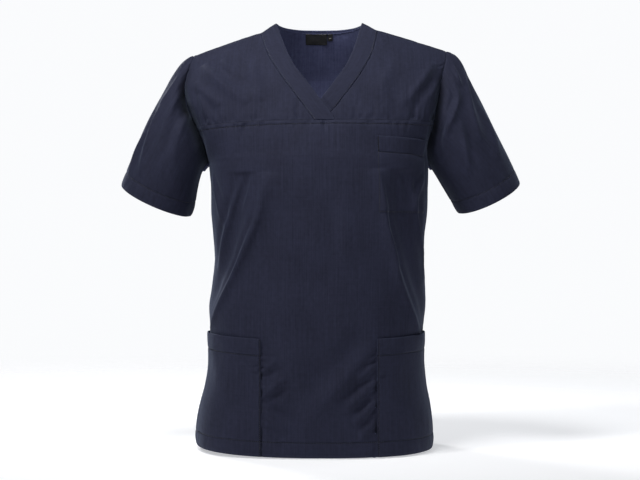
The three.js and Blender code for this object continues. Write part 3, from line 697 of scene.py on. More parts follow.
def sample(grid, i, j):
    """Values between the points of a grid."""
    rows, columns = grid.shape[:2]
    i, j = np.clip(i, 0, rows - 1.001), np.clip(j, 0, columns - 1.001)
    r, c = np.floor(i).astype(int), np.floor(j).astype(int)
    s, t = (i - r)[..., None], (j - c)[..., None]
    return mix(mix(grid[r, c], grid[r, c + 1], t), mix(grid[r + 1, c], grid[r + 1, c + 1], t), s)


def row_where(lengths, wanted):
    """For each column, the fractional row at which the length reaches a value."""
    rows = np.arange(lengths.shape[0])
    wanted = np.broadcast_to(wanted, lengths.shape[1:])
    rising = lengths[-1].mean() > lengths[0].mean()
    result = []
    for j in range(lengths.shape[1]):
        column = lengths[:, j] if rising else lengths[::-1, j]
        places = rows if rising else rows[::-1]
        result.append(np.interp(wanted[j], column, places))
    return np.array(result)


def line_up(sheet, lengths, wanted, low=0.0, high=1.0):
    """A row of stitches across a sheet, where a length up or down its columns has one value."""
    i = row_where(lengths, wanted)
    j = np.arange(sheet.outer.shape[1], dtype=float)
    keep = (j >= low * j[-1]) & (j <= high * j[-1])
    return sample(sheet.outer, i[keep], j[keep]), sample(sheet.final_normals, i[keep], j[keep])


def line_across(sheet, lengths, wanted, low=0.0, high=1.0):
    """A row of stitches up a sheet, where a length along its rows has one value."""
    j = row_where(lengths.T, wanted)
    i = np.arange(sheet.outer.shape[0], dtype=float)
    keep = (i >= low * i[-1]) & (i <= high * i[-1])
    return sample(sheet.outer, i[keep], j[keep]), sample(sheet.final_normals, i[keep], j[keep])


def add_stitches(name, lines, material, seed):
    """Separate stitches, each a short thread that dips into the cloth at both ends."""
    rng = np.random.default_rng(seed)
    vertices, faces = [], []
    places_along = STITCH_LENGTH * np.array([0, 0.18, 0.5, 0.82, 1.0])
    lift = STITCH_RADIUS * np.array([-0.9, 0.35, 0.75, 0.35, -0.9])
    widths = (0.45, 0.95, 1.0, 0.95, 0.45)
    turns_round = [2 * math.pi * m / STITCH_SIDES for m in range(STITCH_SIDES)]
    for points, normals in lines:
        gone = lengths_of(points)
        for start in np.arange(0.6, gone[-1] - STITCH_LENGTH, STITCH_PITCH):
            start = start + rng.uniform(-0.12, 0.12)
            middle = start + STITCH_LENGTH / 2
            line = np.stack([np.interp(start + places_along, gone, points[:, k]) for k in range(3)],
                            axis=-1)
            normal = unit(np.array([np.interp(middle, gone, normals[:, k]) for k in range(3)]))
            line = line + lift[:, None] * normal
            along = unit(line[-1] - line[0])
            sideways = unit(np.cross(along, normal))
            line = line + sideways * rng.uniform(-0.08, 0.08)
            first = len(vertices)
            for centre, wide in zip(line, widths):
                for turn in turns_round:
                    offset = math.cos(turn) * normal + math.sin(turn) * sideways
                    vertices.append(centre + STITCH_RADIUS * wide * offset)
            for k in range(len(widths) - 1):
                low, high = first + k * STITCH_SIDES, first + (k + 1) * STITCH_SIDES
                for m in range(STITCH_SIDES):
                    n = (m + 1) % STITCH_SIDES
                    faces.append([low + m, low + n, high + n, high + m])
            last = first + (len(widths) - 1) * STITCH_SIDES
            faces.append([first + m for m in range(STITCH_SIDES)][::-1])
            faces.append([last + m for m in range(STITCH_SIDES)])
    piece = mesh_from(name, np.array(vertices), faces)
    dress(piece, material)
    return piece


def add_allowances(name, seams, material):
    """Seam allowances: narrow strips pressed behind the sewn edges, which close them."""
    near, far = ALLOWANCE_DEPTHS
    section = [(-ALLOWANCE, near), (ALLOWANCE, near), (ALLOWANCE, far), (-ALLOWANCE, far)]
    vertices, faces, cloth = [], [], []
    for points, normals in seams:
        along = unit(np.gradient(points, axis=0))
        aside = unit(np.cross(along, normals))
        gone = lengths_of(points)
        first = len(vertices)
        for k in range(len(points)):
            for side, depth in section:
                vertices.append(points[k] + side * aside[k] - depth * normals[k])
                cloth.append((side, gone[k], 1.0))
        for k in range(len(points) - 1):
            for m in range(4):
                a, b = first + 4 * k + m, first + 4 * k + (m + 1) % 4
                faces.append([a, a + 4, b + 4, b])
        faces.append([first + 3, first + 2, first + 1, first])
        last = first + 4 * (len(points) - 1)
        faces.append([last, last + 1, last + 2, last + 3])
    piece = mesh_from(name, np.array(vertices), faces, np.array(cloth), np.zeros(len(vertices)))
    strip = bmesh.new()
    strip.from_mesh(piece.data)
    bmesh.ops.recalc_face_normals(strip, faces=strip.faces)
    strip.to_mesh(piece.data)
    strip.free()
    dress(piece, material)
    return piece


def seam_of(sheet, rows, columns):
    """The edge of a sheet over some rows and columns, with the directions away from the wearer."""
    return sheet.outer[rows, columns], sheet.normals[rows, columns]


# Materials
class Look:
    """A material, with the nodes that give it its colour and grain."""

    def __init__(self, name):
        self.material = bpy.data.materials.new(name)
        self.material.use_nodes = True
        self.nodes = self.material.node_tree.nodes
        self.links = self.material.node_tree.links
        self.shader = self.nodes["Principled BSDF"]

    def put(self, **values):
        """Sets the shader's own sockets."""
        for socket, value in values.items():
            self.shader.inputs[socket.replace("_", " ")].default_value = value

    def lead(self, output, socket):
        self.links.new(output, self.shader.inputs[socket])

    def attribute(self, name, output):
        node = self.nodes.new("ShaderNodeAttribute")
        node.attribute_name = name
        return node.outputs[output]

    def split(self, vector):
        node = self.nodes.new("ShaderNodeSeparateXYZ")
        self.links.new(vector, node.inputs[0])
        return node.outputs[0], node.outputs[1], node.outputs[2]

    def math(self, kind, *inputs):
        node = self.nodes.new("ShaderNodeMath")
        node.operation = kind
        for k, value in enumerate(inputs):
            if isinstance(value, (int, float)):
                node.inputs[k].default_value = value
            else:
                self.links.new(value, node.inputs[k])
        return node.outputs[0]

    def waves(self, length, pitch):
        return self.math("SINE", self.math("MULTIPLY", length, 2 * math.pi / pitch))

    def noise(self, vector, stretch, detail):
        """Noise that is finer the larger its stretch is, along each way of a vector."""
        scaled = self.nodes.new("ShaderNodeVectorMath")
        scaled.operation = "MULTIPLY"
        self.links.new(vector, scaled.inputs[0])
        scaled.inputs[1].default_value = stretch
        node = self.nodes.new("ShaderNodeTexNoise")
        node.inputs["Scale"].default_value = 1.0
        node.inputs["Detail"].default_value = detail
        self.links.new(scaled.outputs[0], node.inputs["Vector"])
        return node.outputs["Fac"]

    def blend(self, factor, first, second):
        """One colour mixed into another. Each is a colour or the output of another node."""
        node = self.nodes.new("ShaderNodeMix")
        node.data_type = "RGBA"
        self.links.new(factor, node.inputs["Factor"])
        for socket, colour in (("A", first), ("B", second)):
            if isinstance(colour, tuple):
                node.inputs[socket].default_value = (*colour, 1)
            else:
                self.links.new(colour, node.inputs[socket])
        return node.outputs["Result"]

    def bump(self, height, strength, distance):
        node = self.nodes.new("ShaderNodeBump")
        node.inputs["Strength"].default_value = strength
        node.inputs["Distance"].default_value = distance
        self.links.new(height, node.inputs["Height"])
        self.lead(node.outputs["Normal"], "Normal")


def cloth_material(name, sheen):
    """Fine twill of two navy yarns, with slubs, slow mottling, paler rubbed edges, painted highlights beside
    seams, painted shade in seams and armholes, and a reverse made paler partly as painted light.
    """
    look = Look(name)
    cloth = look.attribute("cloth", "Vector")
    wear_and_shade = look.attribute("wear_and_shade", "Fac")
    across, up, reverse = look.split(cloth)

    # Twill lines rise to the right over crossing yarns
    twill = look.waves(look.math("ADD", across, up), TWILL_PITCH)
    crossing = look.math("MULTIPLY", look.waves(across, WARP_PITCH), look.waves(up, WEFT_PITCH))
    weave = look.math("ADD", look.math("MULTIPLY", twill, 0.6), look.math("MULTIPLY", crossing, 0.4))

    slub_up = look.noise(cloth, (0.55, 0.012, 1), 3.0)
    slub_across = look.noise(cloth, (0.015, 0.7, 1), 2.0)
    mottle = look.noise(cloth, (0.02, 0.014, 1), 2.0)
    fuzz = look.noise(cloth, (1.1, 1.1, 1), 3.0)
    crumple = look.noise(cloth, (0.17, 0.12, 1), 3.0)

    shade = look.math("MULTIPLY_ADD", weave, 0.10, 0.5)
    weights = ((slub_up, 0.9), (slub_across, 0.35), (mottle, 0.6), (fuzz, 1.1), (crumple, 0.6))
    for source, weight in weights:
        centred = look.math("SUBTRACT", source, 0.5)
        shade = look.math("MULTIPLY_ADD", centred, weight, shade)
    # Paler where the cloth is rubbed; beside seams and stitches the paleness is a painted highlight
    rubbed = look.math("MULTIPLY", look.math("MAXIMUM", wear_and_shade, 0.0), 0.35)
    faded = look.blend(rubbed, look.blend(shade, NAVY_DARK, NAVY_LIGHT), NAVY_WORN_AND_HIGHLIT)
    # Painted shade darkens seams, furrows, pocket edges and armholes, and the reverse is paler, partly as
    # painted light inside the top
    painted_shade_and_reverse_gain = look.math("MULTIPLY_ADD", look.math("MINIMUM", wear_and_shade, 0.0), 0.92, 1.0)
    painted_shade_and_reverse_gain = look.math("MULTIPLY_ADD", reverse, REVERSE_PALENESS_AND_LIGHT_GAIN, painted_shade_and_reverse_gain)
    colour_with_painted_shade = look.nodes.new("ShaderNodeVectorMath")
    colour_with_painted_shade.operation = "SCALE"
    look.links.new(faded, colour_with_painted_shade.inputs[0])
    look.links.new(painted_shade_and_reverse_gain, colour_with_painted_shade.inputs["Scale"])
    look.lead(colour_with_painted_shade.outputs[0], "Base Color")

    height = look.math("MULTIPLY_ADD", slub_up, 0.7, weave)
    height = look.math("MULTIPLY_ADD", fuzz, 1.2, height)
    height = look.math("MULTIPLY_ADD", crumple, 9.0, height)
    look.bump(height, 0.35, 0.00006)
    look.lead(look.math("MULTIPLY_ADD", fuzz, 0.16, 0.72), "Roughness")
    look.put(Specular_IOR_Level=0.15, Sheen_Weight=sheen, Sheen_Roughness=0.42,
             Sheen_Tint=(0.55, 0.68, 1.0, 1))
    return look.material


def thread_material():
    look = Look("navy_thread")
    where = look.nodes.new("ShaderNodeTexCoord").outputs["Object"]
    twist = look.noise(where, (900, 900, 900), 2.0)
    look.lead(look.blend(twist, (0.007, 0.008, 0.018), (0.019, 0.022, 0.043)), "Base Color")
    look.bump(twist, 0.3, 0.00005)
    look.put(Roughness=0.5, Sheen_Weight=0.2)
    return look.material


def label_material(name, pale=None, left=0, right=0, low=0, high=0):
    """Black woven satin, with one plain pale bar where a colour and its edges are given."""
    look = Look(name)
    cloth = look.attribute("cloth", "Vector")
    across, up, _ = look.split(cloth)
    ribs = look.waves(up, 0.5)
    weave = look.noise(cloth, (1.2, 2.4, 1), 2.0)
    colour = look.blend(weave, (0.004, 0.004, 0.005), (0.018, 0.018, 0.021))
    if pale:
        sides = look.math("MULTIPLY", look.math("GREATER_THAN", across, left),
                          look.math("LESS_THAN", across, right))
        ends = look.math("MULTIPLY", look.math("GREATER_THAN", up, low),
                         look.math("LESS_THAN", up, high))
        colour = look.blend(look.math("MULTIPLY", sides, ends), colour, pale)
    look.lead(colour, "Base Color")
    look.bump(look.math("ADD", ribs, weave), 0.4, 0.00008)
    look.put(Roughness=0.45)
    return look.material


navy = cloth_material("navy_twill", 0.10)
navy_trim = cloth_material("navy_twill_doubled", 0.12)
thread = thread_material()


# Creases: points as x, z seen from the front, height, width, and a hollow beside it
FRONT_CREASES = [
    ([(-93, -238), (-101, -294), (-120, -340), (-147, -402), (-175, -459), (-187, -492)], 4.2, 6.0, 0.6),
    ([(-133, -236), (-141, -269), (-156, -320), (-167, -362), (-173, -390)], 4.0, 6.0, 0.6),
    ([(-182, -232), (-172, -276), (-160, -318)], 3.0, 6, -0.5),
    ([(-112, -232), (-119, -262), (-131, -300)], 2.2, 6, 0.5),
    ([(98, -228), (107, -278), (112, -318), (124, -362), (130, -398), (146, -444), (161, -481), (168, -506)],
     4.2, 6.0, -0.6),
    ([(149, -228), (157, -269), (162, -301), (167, -335), (174, -362), (176, -410)], 3.6, 6.0, -0.6),
    ([(176, -232), (166, -256), (158, -286)], 3.0, 6, 0.5),
    ([(128, -226), (136, -260), (140, -296)], 1.8, 6, -0.5),
    ([(-97, -598), (-80, -585), (-56, -566)], 4.0, 6, 0.6),
    ([(-97, -618), (-78, -634), (-50, -656)], 4.4, 6.5, -0.6),
    ([(-97, -650), (-84, -661), (-66, -676)], 3.0, 5, -0.5),
    ([(-97, -560), (-84, -552), (-70, -540)], 2.8, 5, 0.5),
    ([(95, -572), (74, -592), (44, -620)], 4.6, 7.5, 0.6),
    ([(95, -602), (80, -620), (58, -644)], 4.0, 6.5, 0.6),
    ([(95, -636), (82, -650), (66, -668)], 3.2, 5, 0.5),
    ([(95, -545), (80, -556), (62, -572)], 3.0, 5.5, 0.5),
    ([(92, -505), (52, -560), (5, -610), (-34, -664)], 4.6, 16, 0.5),
    ([(-92, -480), (-60, -530), (-20, -590), (4, -640)], 2.6, 16, -0.4),
    ([(-40, -300), (-46, -380), (-40, -470), (-30, -560)], 1.8, 22, 0.3),
    ([(38, -230), (44, -320), (36, -420), (44, -500)], 1.8, 24, 0.3),
    ([(8, -250), (-6, -330), (6, -410)], 1.2, 16, 0.3),
]


# Pieces
CENTRE = np.array([0, 0, -340.0])
pieces = {}
stitch_lines = []


def outwards_from(points, centre=CENTRE):
    return points - centre


def armhole_depth(side, z):
    """How far the seam of the armhole sinks in at the front, by its height."""
    below_top = ease((ARMHOLE_TOP_Z - z) / 95)
    return ARMHOLE_SINK[side] * below_top * ease((z - ARMHOLE_FOOT_Z) / 45)


def sink_armhole(points, side, edge_z, distance, width):
    """Draws cloth back towards the armhole's seam, and says how much painted shade each point gets."""
    profile = 0.6 * np.exp(-distance / (0.5 * width)) + 0.4 * bell(distance / width)
    depth = armhole_depth(side, edge_z)
    points[..., 1] += depth * profile
    return depth / ARMHOLE_SINK[RIGHT] * bell(distance / (0.65 * width))


def make_front():
    v = levels_between(front, 0.3, 0, YOKE_SEAM, CELL, (HEM_DEPTH, -YOKE_STITCH))
    u = columns_between(front, 8, -1, 1, CELL)
    points = front(u[None, :], v[:, None])
    painted_armhole_shade = 0
    for side, edge in ((RIGHT, 0), (LEFT, -1)):
        distance = np.linalg.norm(points - points[:, edge][:, None], axis=-1)
        beside = np.where(v >= UNDERARM, points[:, edge, 2], 0)[:, None]
        painted_armhole_shade = painted_armhole_shade + sink_armhole(points, side, beside, distance, 11)
    sheet = Sheet("front_cloth", points, outwards_from(points),
                  centre_column=int(np.argmin(np.abs(u))))
    sheet.u, sheet.v = u, v
    # Painted shade darkens the front towards the armholes' seams
    sheet.wear_and_shade -= ARMHOLE_PAINTED_SHADE * painted_armhole_shade
    across, up = sheet.plane()
    add_drape(sheet, 11, 1.7, [sheet.from_start, sheet.from_end, sheet.from_top])
    add_creases(sheet, FRONT_CREASES)
    # Between the folds that run down at the sides the cloth is looser
    loose = bell((np.abs(points[..., 0]) - 150) / 45) * bell((points[..., 2] + 330) / 130)
    sheet.relief += 0.8 * loose * hills(across / 26, up / 60, 31)
    pieces["slow_front"] = sheet.relief.copy()
    for side, line in POCKET_LINE.items():
        inner = across * side - line
        beside = np.where(inner < 0, -inner, 1e3)
        low = ease((HIP_POCKET_TOP_Z - points[..., 2]) / 12)
        pucker = hills(up / 3.8 + beside / 9, beside / 22, 41 + side) * bell(beside / 13)
        sheet.relief += low * (2.3 * pucker - 2.0 * bell(beside / 1.9))
        # Painted shade in the dip along the pocket's inner edge
        sheet.wear_and_shade -= low * 0.8 * bell(beside / 1.2)
    # Puckers below the yoke and along the side seams
    add_puckers(sheet, sheet.from_top, across, 51, 3.2, 4.5, 14)
    add_puckers(sheet, sheet.from_top, across, 52, 4.2, 8.0, 30)
    add_puckers(sheet, sheet.from_start, up, 53, 1.5, 6.0, 14)
    add_puckers(sheet, sheet.from_end, up, 54, 1.5, 6.0, 14)
    sheet.relief += 0.45 * ease((YOKE_STITCH + 0.6 - sheet.from_top) / 1.2)
    add_furrow(sheet, sheet.from_top - YOKE_STITCH, 0.45, 1.0)
    add_seam(sheet, sheet.from_top, 0.5, 1.1)
    add_seam(sheet, sheet.from_start, 1.0, 1.6)
    add_seam(sheet, sheet.from_end, 1.0, 1.6)
    # Above the hem the cloth gathers a little on the row of stitches
    beyond = np.maximum(sheet.from_foot - HEM_DEPTH, 0)
    gather = hills((across + 0.5 * up) / 8, 0, 61) * (0.4 + 0.6 * hills(across / 47, 0, 62))
    sheet.relief += 0.9 * gather * bell(beyond / 15) * ease(beyond / 1.5)
    add_hem(sheet, sheet.from_foot, HEM_DEPTH, 63, across)
    # The top edge runs on behind the yokes
    sheet.base[-1] += 2.2 * unit(sheet.base[-1] - sheet.base[-3])
    sheet.relief[-1] -= 0.9
    sheet.finish()
    pieces["front"] = sheet
    stitch_lines.append(("front_stitches", [
        line_up(sheet, sheet.from_foot, HEM_DEPTH, 0.02, 0.98),
        line_up(sheet, sheet.from_top, YOKE_STITCH, 0.02, 0.98),
    ]))


def make_back():
    v = levels_between(back, 0.6, 0, BACK_TOP, BACK_CELL, (HEM_DEPTH,))
    u = columns_between(back, 8, -1, 1, BACK_CELL)
    points = back(u[None, :], v[:, None])
    sheet = Sheet("back_cloth", points, outwards_from(points),
                  centre_column=int(np.argmin(np.abs(u))))
    sheet.u, sheet.v = u, v
    across, up = sheet.plane()
    add_drape(sheet, 71, 1.6, [sheet.from_start, sheet.from_end, sheet.from_top])
    add_creases(sheet, BACK_CREASES, 1)
    add_puckers(sheet, sheet.from_start, up, 73, 1.5, 6.0, 14)
    add_puckers(sheet, sheet.from_end, up, 74, 1.5, 6.0, 14)
    add_puckers(sheet, sheet.from_top, across, 75, 1.2, 5.0, 15)
    add_seam(sheet, sheet.from_top, 0.35, 1.3)
    add_seam(sheet, sheet.from_start, 1.0, 1.6)
    add_seam(sheet, sheet.from_end, 1.0, 1.6)
    add_hem(sheet, sheet.from_foot, HEM_DEPTH, 76, across)
    sheet.finish()
    pieces["back"] = sheet
    stitch_lines.append(("back_stitches", [line_up(sheet, sheet.from_foot, HEM_DEPTH, 0.02, 0.98)]))


def yoke_edge_u(side, v):
    return u_at_x(plain_front, neck_edge_x(side, v), v)


def make_yoke(side, name):
    v = levels_between(front, side * 0.7, YOKE_SEAM, FRONT_TOP, FINE_CELL)
    share = np.linspace(0, 1, CURVE_STEPS)
    middle = (YOKE_SEAM + FRONT_TOP) / 2
    start = yoke_edge_u(side, np.array(middle))
    gone = lengths_of(front(mix(start, side, share), np.full(CURVE_STEPS, middle)))
    share = np.interp(stations(gone[-1], FINE_CELL, (6,)), gone, share)
    start = yoke_edge_u(side, v)
    u = mix(start[:, None], side, share[None, :])
    points = front(u, v[:, None])
    distance = np.linalg.norm(points - points[:, -1:], axis=-1)
    painted_armhole_shade = sink_armhole(points, side, points[:, -1, 2][:, None].copy(), distance, 11)
    # The rows' lengths from the centre line keep the grain upright
    offset = np.empty(len(v))
    for i, (edge, row) in enumerate(zip(start, v)):
        run = plain_front(np.linspace(0, edge, 60), np.full(60, row))
        offset[i] = -lengths_of(run)[-1]
    outwards = outwards_from(points, np.array([side * 120, 40, -200.0]))
    sheet = Sheet(name + "_cloth", points, outwards, offset=offset)
    # Painted shade darkens the yoke towards the armhole's seam
    sheet.wear_and_shade -= ARMHOLE_PAINTED_SHADE * painted_armhole_shade
    across, up = sheet.plane()
    sewn = [sheet.from_start, sheet.from_end, sheet.from_top, sheet.from_foot]
    add_drape(sheet, 81 + side, 1.2, sewn)
    add_creases(sheet, YOKE_CREASES[side])
    # Tall soft puckers stand on the yoke seam
    add_puckers(sheet, sheet.from_foot, across, 83 + side, 3.0, 4.5, 20)
    add_puckers(sheet, sheet.from_foot, across, 86 + side, 5.4, 7.5, 52)
    add_puckers(sheet, sheet.from_end, up, 89 + side, 1.6, 6.0, 15)
    add_puckers(sheet, sheet.from_start, up, 92 + side, 1.0, 5.0, 10)
    add_seam(sheet, sheet.from_foot, 0.5, 1.1)
    add_seam(sheet, sheet.from_top, 0.7, 1.3)
    add_seam(sheet, sheet.from_end, 1.0, 1.5)
    add_seam(sheet, sheet.from_start, 0.8, 1.2)
    sheet.finish()
    pieces[name] = sheet


def band_point(side, x, v, share):
    """A point of a neck band, on the front and a little proud of it, that stands up at the shoulder."""
    u = u_at_x(plain_front, x, v)
    points = plain_front(u, v) + surface_normal(plain_front, 1, u, v) * BAND_PROUD
    end = neck_end(side)
    end[2] = BAND_CORNER_Z
    foot = plain_front(u_at_x(plain_front, end[0], FRONT_TOP), np.array(float(FRONT_TOP)))
    return points + (end - foot) * (share * ease((v - FRONT_TOP + 3.2) / 3.2))[..., None]


def dress_band(sheet, seed):
    """Doubled cloth, fuller along its middle and rubbed along its edges."""
    across, up = sheet.plane()
    width = sheet.from_start + sheet.from_end
    sheet.thickness += 0.7
    full = np.sin(np.pi * np.clip(sheet.from_start / width, 0, 1))
    sheet.relief += 0.5 * full + 0.25 * hills(up / 34, across / 24, seed)
    slanted = up + 0.6 * across
    sheet.relief += 0.28 * full * hills(slanted / 11, 0, seed + 1)
    for edge in (sheet.from_start, sheet.from_end):
        sheet.relief -= 0.55 * bell(edge / 1.1)
        sheet.wear_and_shade += 0.55 * bell(edge / 1.3)
    add_puckers(sheet, sheet.from_start, up, seed + 2, 0.25, 7.0, 8)


def make_over_band():
    v = levels_between(plain_front, -0.4, YOKE_SEAM, FRONT_TOP, FINE_CELL)
    share = stations(BAND_WIDTH, BAND_CELL, (3,)) / BAND_WIDTH
    x = mix(neck_edge_x(RIGHT, v)[:, None], over_band_inner_x(v)[:, None], share[None, :])
    points = band_point(RIGHT, x, np.broadcast_to(v[:, None], x.shape), share[None, :])
    sheet = Sheet("neck_band_right_cloth", points, outwards_from(points, np.array([0, 60, -100.0])))
    dress_band(sheet, 101)
    sheet.finish()
    pieces["neck_band_right"] = sheet
    row = line_across(sheet, sheet.from_start, BAND_STITCH, 0.01, 0.99)
    stitch_lines.append(("neck_band_right_stitches", [row]))


def make_under_band():
    crossing = YOKE_SEAM + 0.77
    v = levels_between(plain_front, 0.4, crossing, FRONT_TOP, FINE_CELL)
    share = stations(BAND_WIDTH, BAND_CELL, (3,)) / BAND_WIDTH
    outer, over = neck_edge_x(LEFT, v), over_band_inner_x(v)
    inner = np.maximum(outer - (over - neck_edge_x(RIGHT, v)), over - BAND_UNDERLAP)
    x = mix(outer[:, None], inner[:, None], share[None, :])
    points = band_point(LEFT, x, np.broadcast_to(v[:, None], x.shape), share[None, :])
    points[..., 1] += BAND_DIP * ease((over[:, None] + 11 - x) / 7)
    sheet = Sheet("neck_band_left_cloth", points, outwards_from(points, np.array([0, 60, -100.0])))
    dress_band(sheet, 111)
    sheet.finish()
    pieces["neck_band_left"] = sheet
    row = line_across(sheet, sheet.from_start, BAND_STITCH, 0.04, 0.99)
    stitch_lines.append(("neck_band_left_stitches", [row]))


def make_binding():
    u = np.linspace(-NECK_COLUMN, NECK_COLUMN, 90)
    top = back(u, np.full(u.shape, float(BACK_TOP)))
    rise = unit(top - back(u, np.full(u.shape, BACK_TOP - 0.04)))
    width = mix(BINDING_WIDTH, BINDING_END_WIDTH, ease(np.abs(u) / NECK_COLUMN))
    share = np.linspace(0, 1, 9)
    height = mix(-1.6, width[None, :], share[:, None])
    points = top[None] + rise[None] * height[..., None]
    sheet = Sheet("back_neck_binding_cloth", points, outwards_from(points, np.array([0, 0, 30.0])),
                  centre_column=45)
    across, up = sheet.plane()
    sheet.thickness += 1.4
    sheet.relief += 0.4 + 0.5 * np.sin(np.pi * share)[:, None] ** 0.8
    sheet.relief += 0.15 * hills((across + 1.2 * up) / 5, 0, 121)
    sheet.wear_and_shade += 0.4 * bell((share - 1) / 0.25)[:, None]
    sheet.finish()
    pieces["back_neck_binding"] = sheet
    i = np.full(len(u), 2.0)
    j = np.arange(len(u), dtype=float)
    stitch_lines.append(("back_neck_binding_stitches", [
        (sample(sheet.outer, i, j)[2:-2], sample(sheet.final_normals, i, j)[2:-2]),
    ]))


def make_label(name, left, right, drop, seed):
    """A woven label that hangs inside the back from the seam of the binding."""
    behind = pieces["back"]
    x = np.linspace(left, right, max(6, int((right - left) / 1.5)))
    down = np.linspace(drop, 0.3, 16)
    columns = np.interp(x, behind.base[-1, :, 0], np.arange(len(behind.u)))
    rows = np.arange(len(behind.v))
    i = np.empty((len(down), len(x)))
    for k, column in enumerate(columns):
        from_top = behind.from_top[:, int(round(column))]
        i[:, k] = np.interp(down, from_top[::-1], rows[::-1])
    j = np.broadcast_to(columns[None, :], i.shape)
    normals = sample(behind.normals, i, j)
    stand = SHELL + 1.0 + 0.6 * ease(down / drop)
    points = sample(behind.base, i, j) - normals * stand[:, None, None]
    sheet = Sheet(name + "_cloth", points, -normals)
    sheet.thickness[:] = 0.5
    across, up = sheet.plane()
    sheet.relief += 0.35 * hills(across / 14, up / 9, seed)
    sheet.relief += 0.5 * bell(sheet.from_foot / 3) * hills(across / 17, 2, seed + 1)
    sheet.finish()
    pieces[name] = sheet


def half_column_us(side, v):
    """The inner line of the pockets on one row, and the u where the breast pocket ends."""
    at_line = abs(float(u_at_x(plain_front, side * POCKET_LINE[side], np.array(float(v)))))
    u = np.linspace(at_line, 1, 400)
    gone = lengths_of(plain_front(side * u, np.full(400, float(v))))
    far = float(np.interp(BREAST_POCKET_WIDTH, gone, u))
    return at_line, min(0.965, far)


def make_pocket(name, side, low, high, sewing, seed):
    """A patch pocket, which lies on the front and follows its folds."""
    at_hip = sewing is HIP_POCKET
    under = pieces["front"]
    foot_mark = HEM_DEPTH if at_hip else EDGE_STITCH
    v = levels_between(front, side * 0.6, low, high, 2.0, (foot_mark, -POCKET_HEM))
    limits = np.array([half_column_us(side, row) for row in v])
    near = limits[:, 0]
    far = np.ones(len(v)) if at_hip else limits[:, 1]
    even = np.linspace(0, 1, 500)
    run = front(side * np.linspace(near.mean(), far.mean(), 500), np.full(500, (low + high) / 2.0))
    gone = lengths_of(run)
    marks = (EDGE_STITCH, 7) if at_hip else (EDGE_STITCH, -EDGE_STITCH)
    share = np.interp(stations(gone[-1], 2.5, marks), gone, even)
    u = side * mix(near[:, None], far[:, None], share[None, :])
    i = np.broadcast_to(np.interp(v, under.v, np.arange(len(under.v)))[:, None], u.shape)
    j = np.interp(u, under.u, np.arange(len(under.u)))
    normals = sample(under.normals, i, j)
    # The mouth stands open, and its end is caught in the side seam
    open_rows = ease(1 - (high - v) / sewing["gape_rows"])
    stand = sewing["stand"] + SHELL
    stand = stand + sewing["gape"] * open_rows[:, None] * (share * (1 - share ** 12))[None, :]
    if at_hip:
        stand = stand - 1.5 * (share ** 20)[None, :]
    points = sample(under.base, i, j) + normals * stand[..., None]
    sheet = Sheet(name + "_cloth", points, normals)
    # The cloth beneath shows through as its slow folds
    across, up = sheet.plane()
    sheet.relief += sample(pieces["slow_front"][..., None], i, j)[..., 0]
    sheet.relief += 0.5 * hills(across / 31, up / 47, seed)
    sheet.relief += 0.25 * hills(across / 12, up / 22, seed + 1)
    # The hem of the mouth
    inside = ease((POCKET_HEM - sheet.from_top) / 1.5)
    sheet.thickness += 0.7 * inside
    full = np.sin(np.pi * np.clip(sheet.from_top / POCKET_HEM, 0, 1))
    roping = hills((across + 0.5 * sheet.from_top) / 10, 0, seed + 2)
    sheet.relief += inside * full * (0.5 + 0.3 * roping)
    sheet.relief -= 0.5 * bell(sheet.from_top / 1.2)
    sheet.wear_and_shade += 0.6 * bell(sheet.from_top / 1.4)
    add_furrow(sheet, sheet.from_top - POCKET_HEM, 1.0, 1.1)
    below_hem = np.maximum(sheet.from_top - POCKET_HEM, 0)
    add_puckers(sheet, below_hem, across, seed + 3, 1.0, 4.5, 11)
    # Sewn edges are drawn in, with puckers, painted shade along them and a row of stitches beside them
    sewn = [sheet.from_start] if at_hip else [sheet.from_start, sheet.from_end, sheet.from_foot]
    for k, distance in enumerate(sewn):
        along = across if distance is sheet.from_foot else up
        add_puckers(sheet, distance, along, seed + 5 + k, sewing["puckers"], 4.0, 12)
        sheet.relief -= sewing["draw"] * bell(distance / sewing["draw_width"])
        if at_hip:
            uneven = 1 + 0.6 * hills(along / 8, 0, seed + 9 + k)
            sheet.relief += 0.35 * bell((distance - 5) / 2.5) * uneven
        add_furrow(sheet, distance - EDGE_STITCH, sewing["furrow"], 0.8)
        # Painted shade along the drawn edge
        sheet.wear_and_shade -= sewing["shade"] * bell(distance / 1.2)
    if at_hip:
        add_hem(sheet, sheet.from_foot, HEM_DEPTH, seed + 13, across)
        add_seam(sheet, sheet.from_end, 1.2, 1.8)
        add_puckers(sheet, sheet.from_end, up, seed + 15, 1.5, 6.0, 13)
    else:
        # The hem stands off a little at its inner end, with painted shade in the gap beneath it
        rise = ease((POCKET_HEM - sheet.from_top) / 4) * bell(sheet.from_start / 5)
        sheet.relief += 1.5 * rise
        sheet.wear_and_shade -= 0.8 * rise * bell(sheet.from_start / 1.6)
    sheet.finish()
    lines = [line_up(sheet, sheet.from_top, POCKET_HEM, 0.02, 0.98),
             line_across(sheet, sheet.from_start, EDGE_STITCH, 0.01, 0.99)]
    if at_hip:
        lines.append(line_up(sheet, sheet.from_foot, HEM_DEPTH, 0.02, 0.98))
    else:
        lines.append(line_across(sheet, sheet.from_end, EDGE_STITCH, 0.01, 0.99))
        lines.append(line_up(sheet, sheet.from_foot, EDGE_STITCH, 0.03, 0.97))
    pieces[name] = sheet
    stitch_lines.append((name + "_stitches", lines))


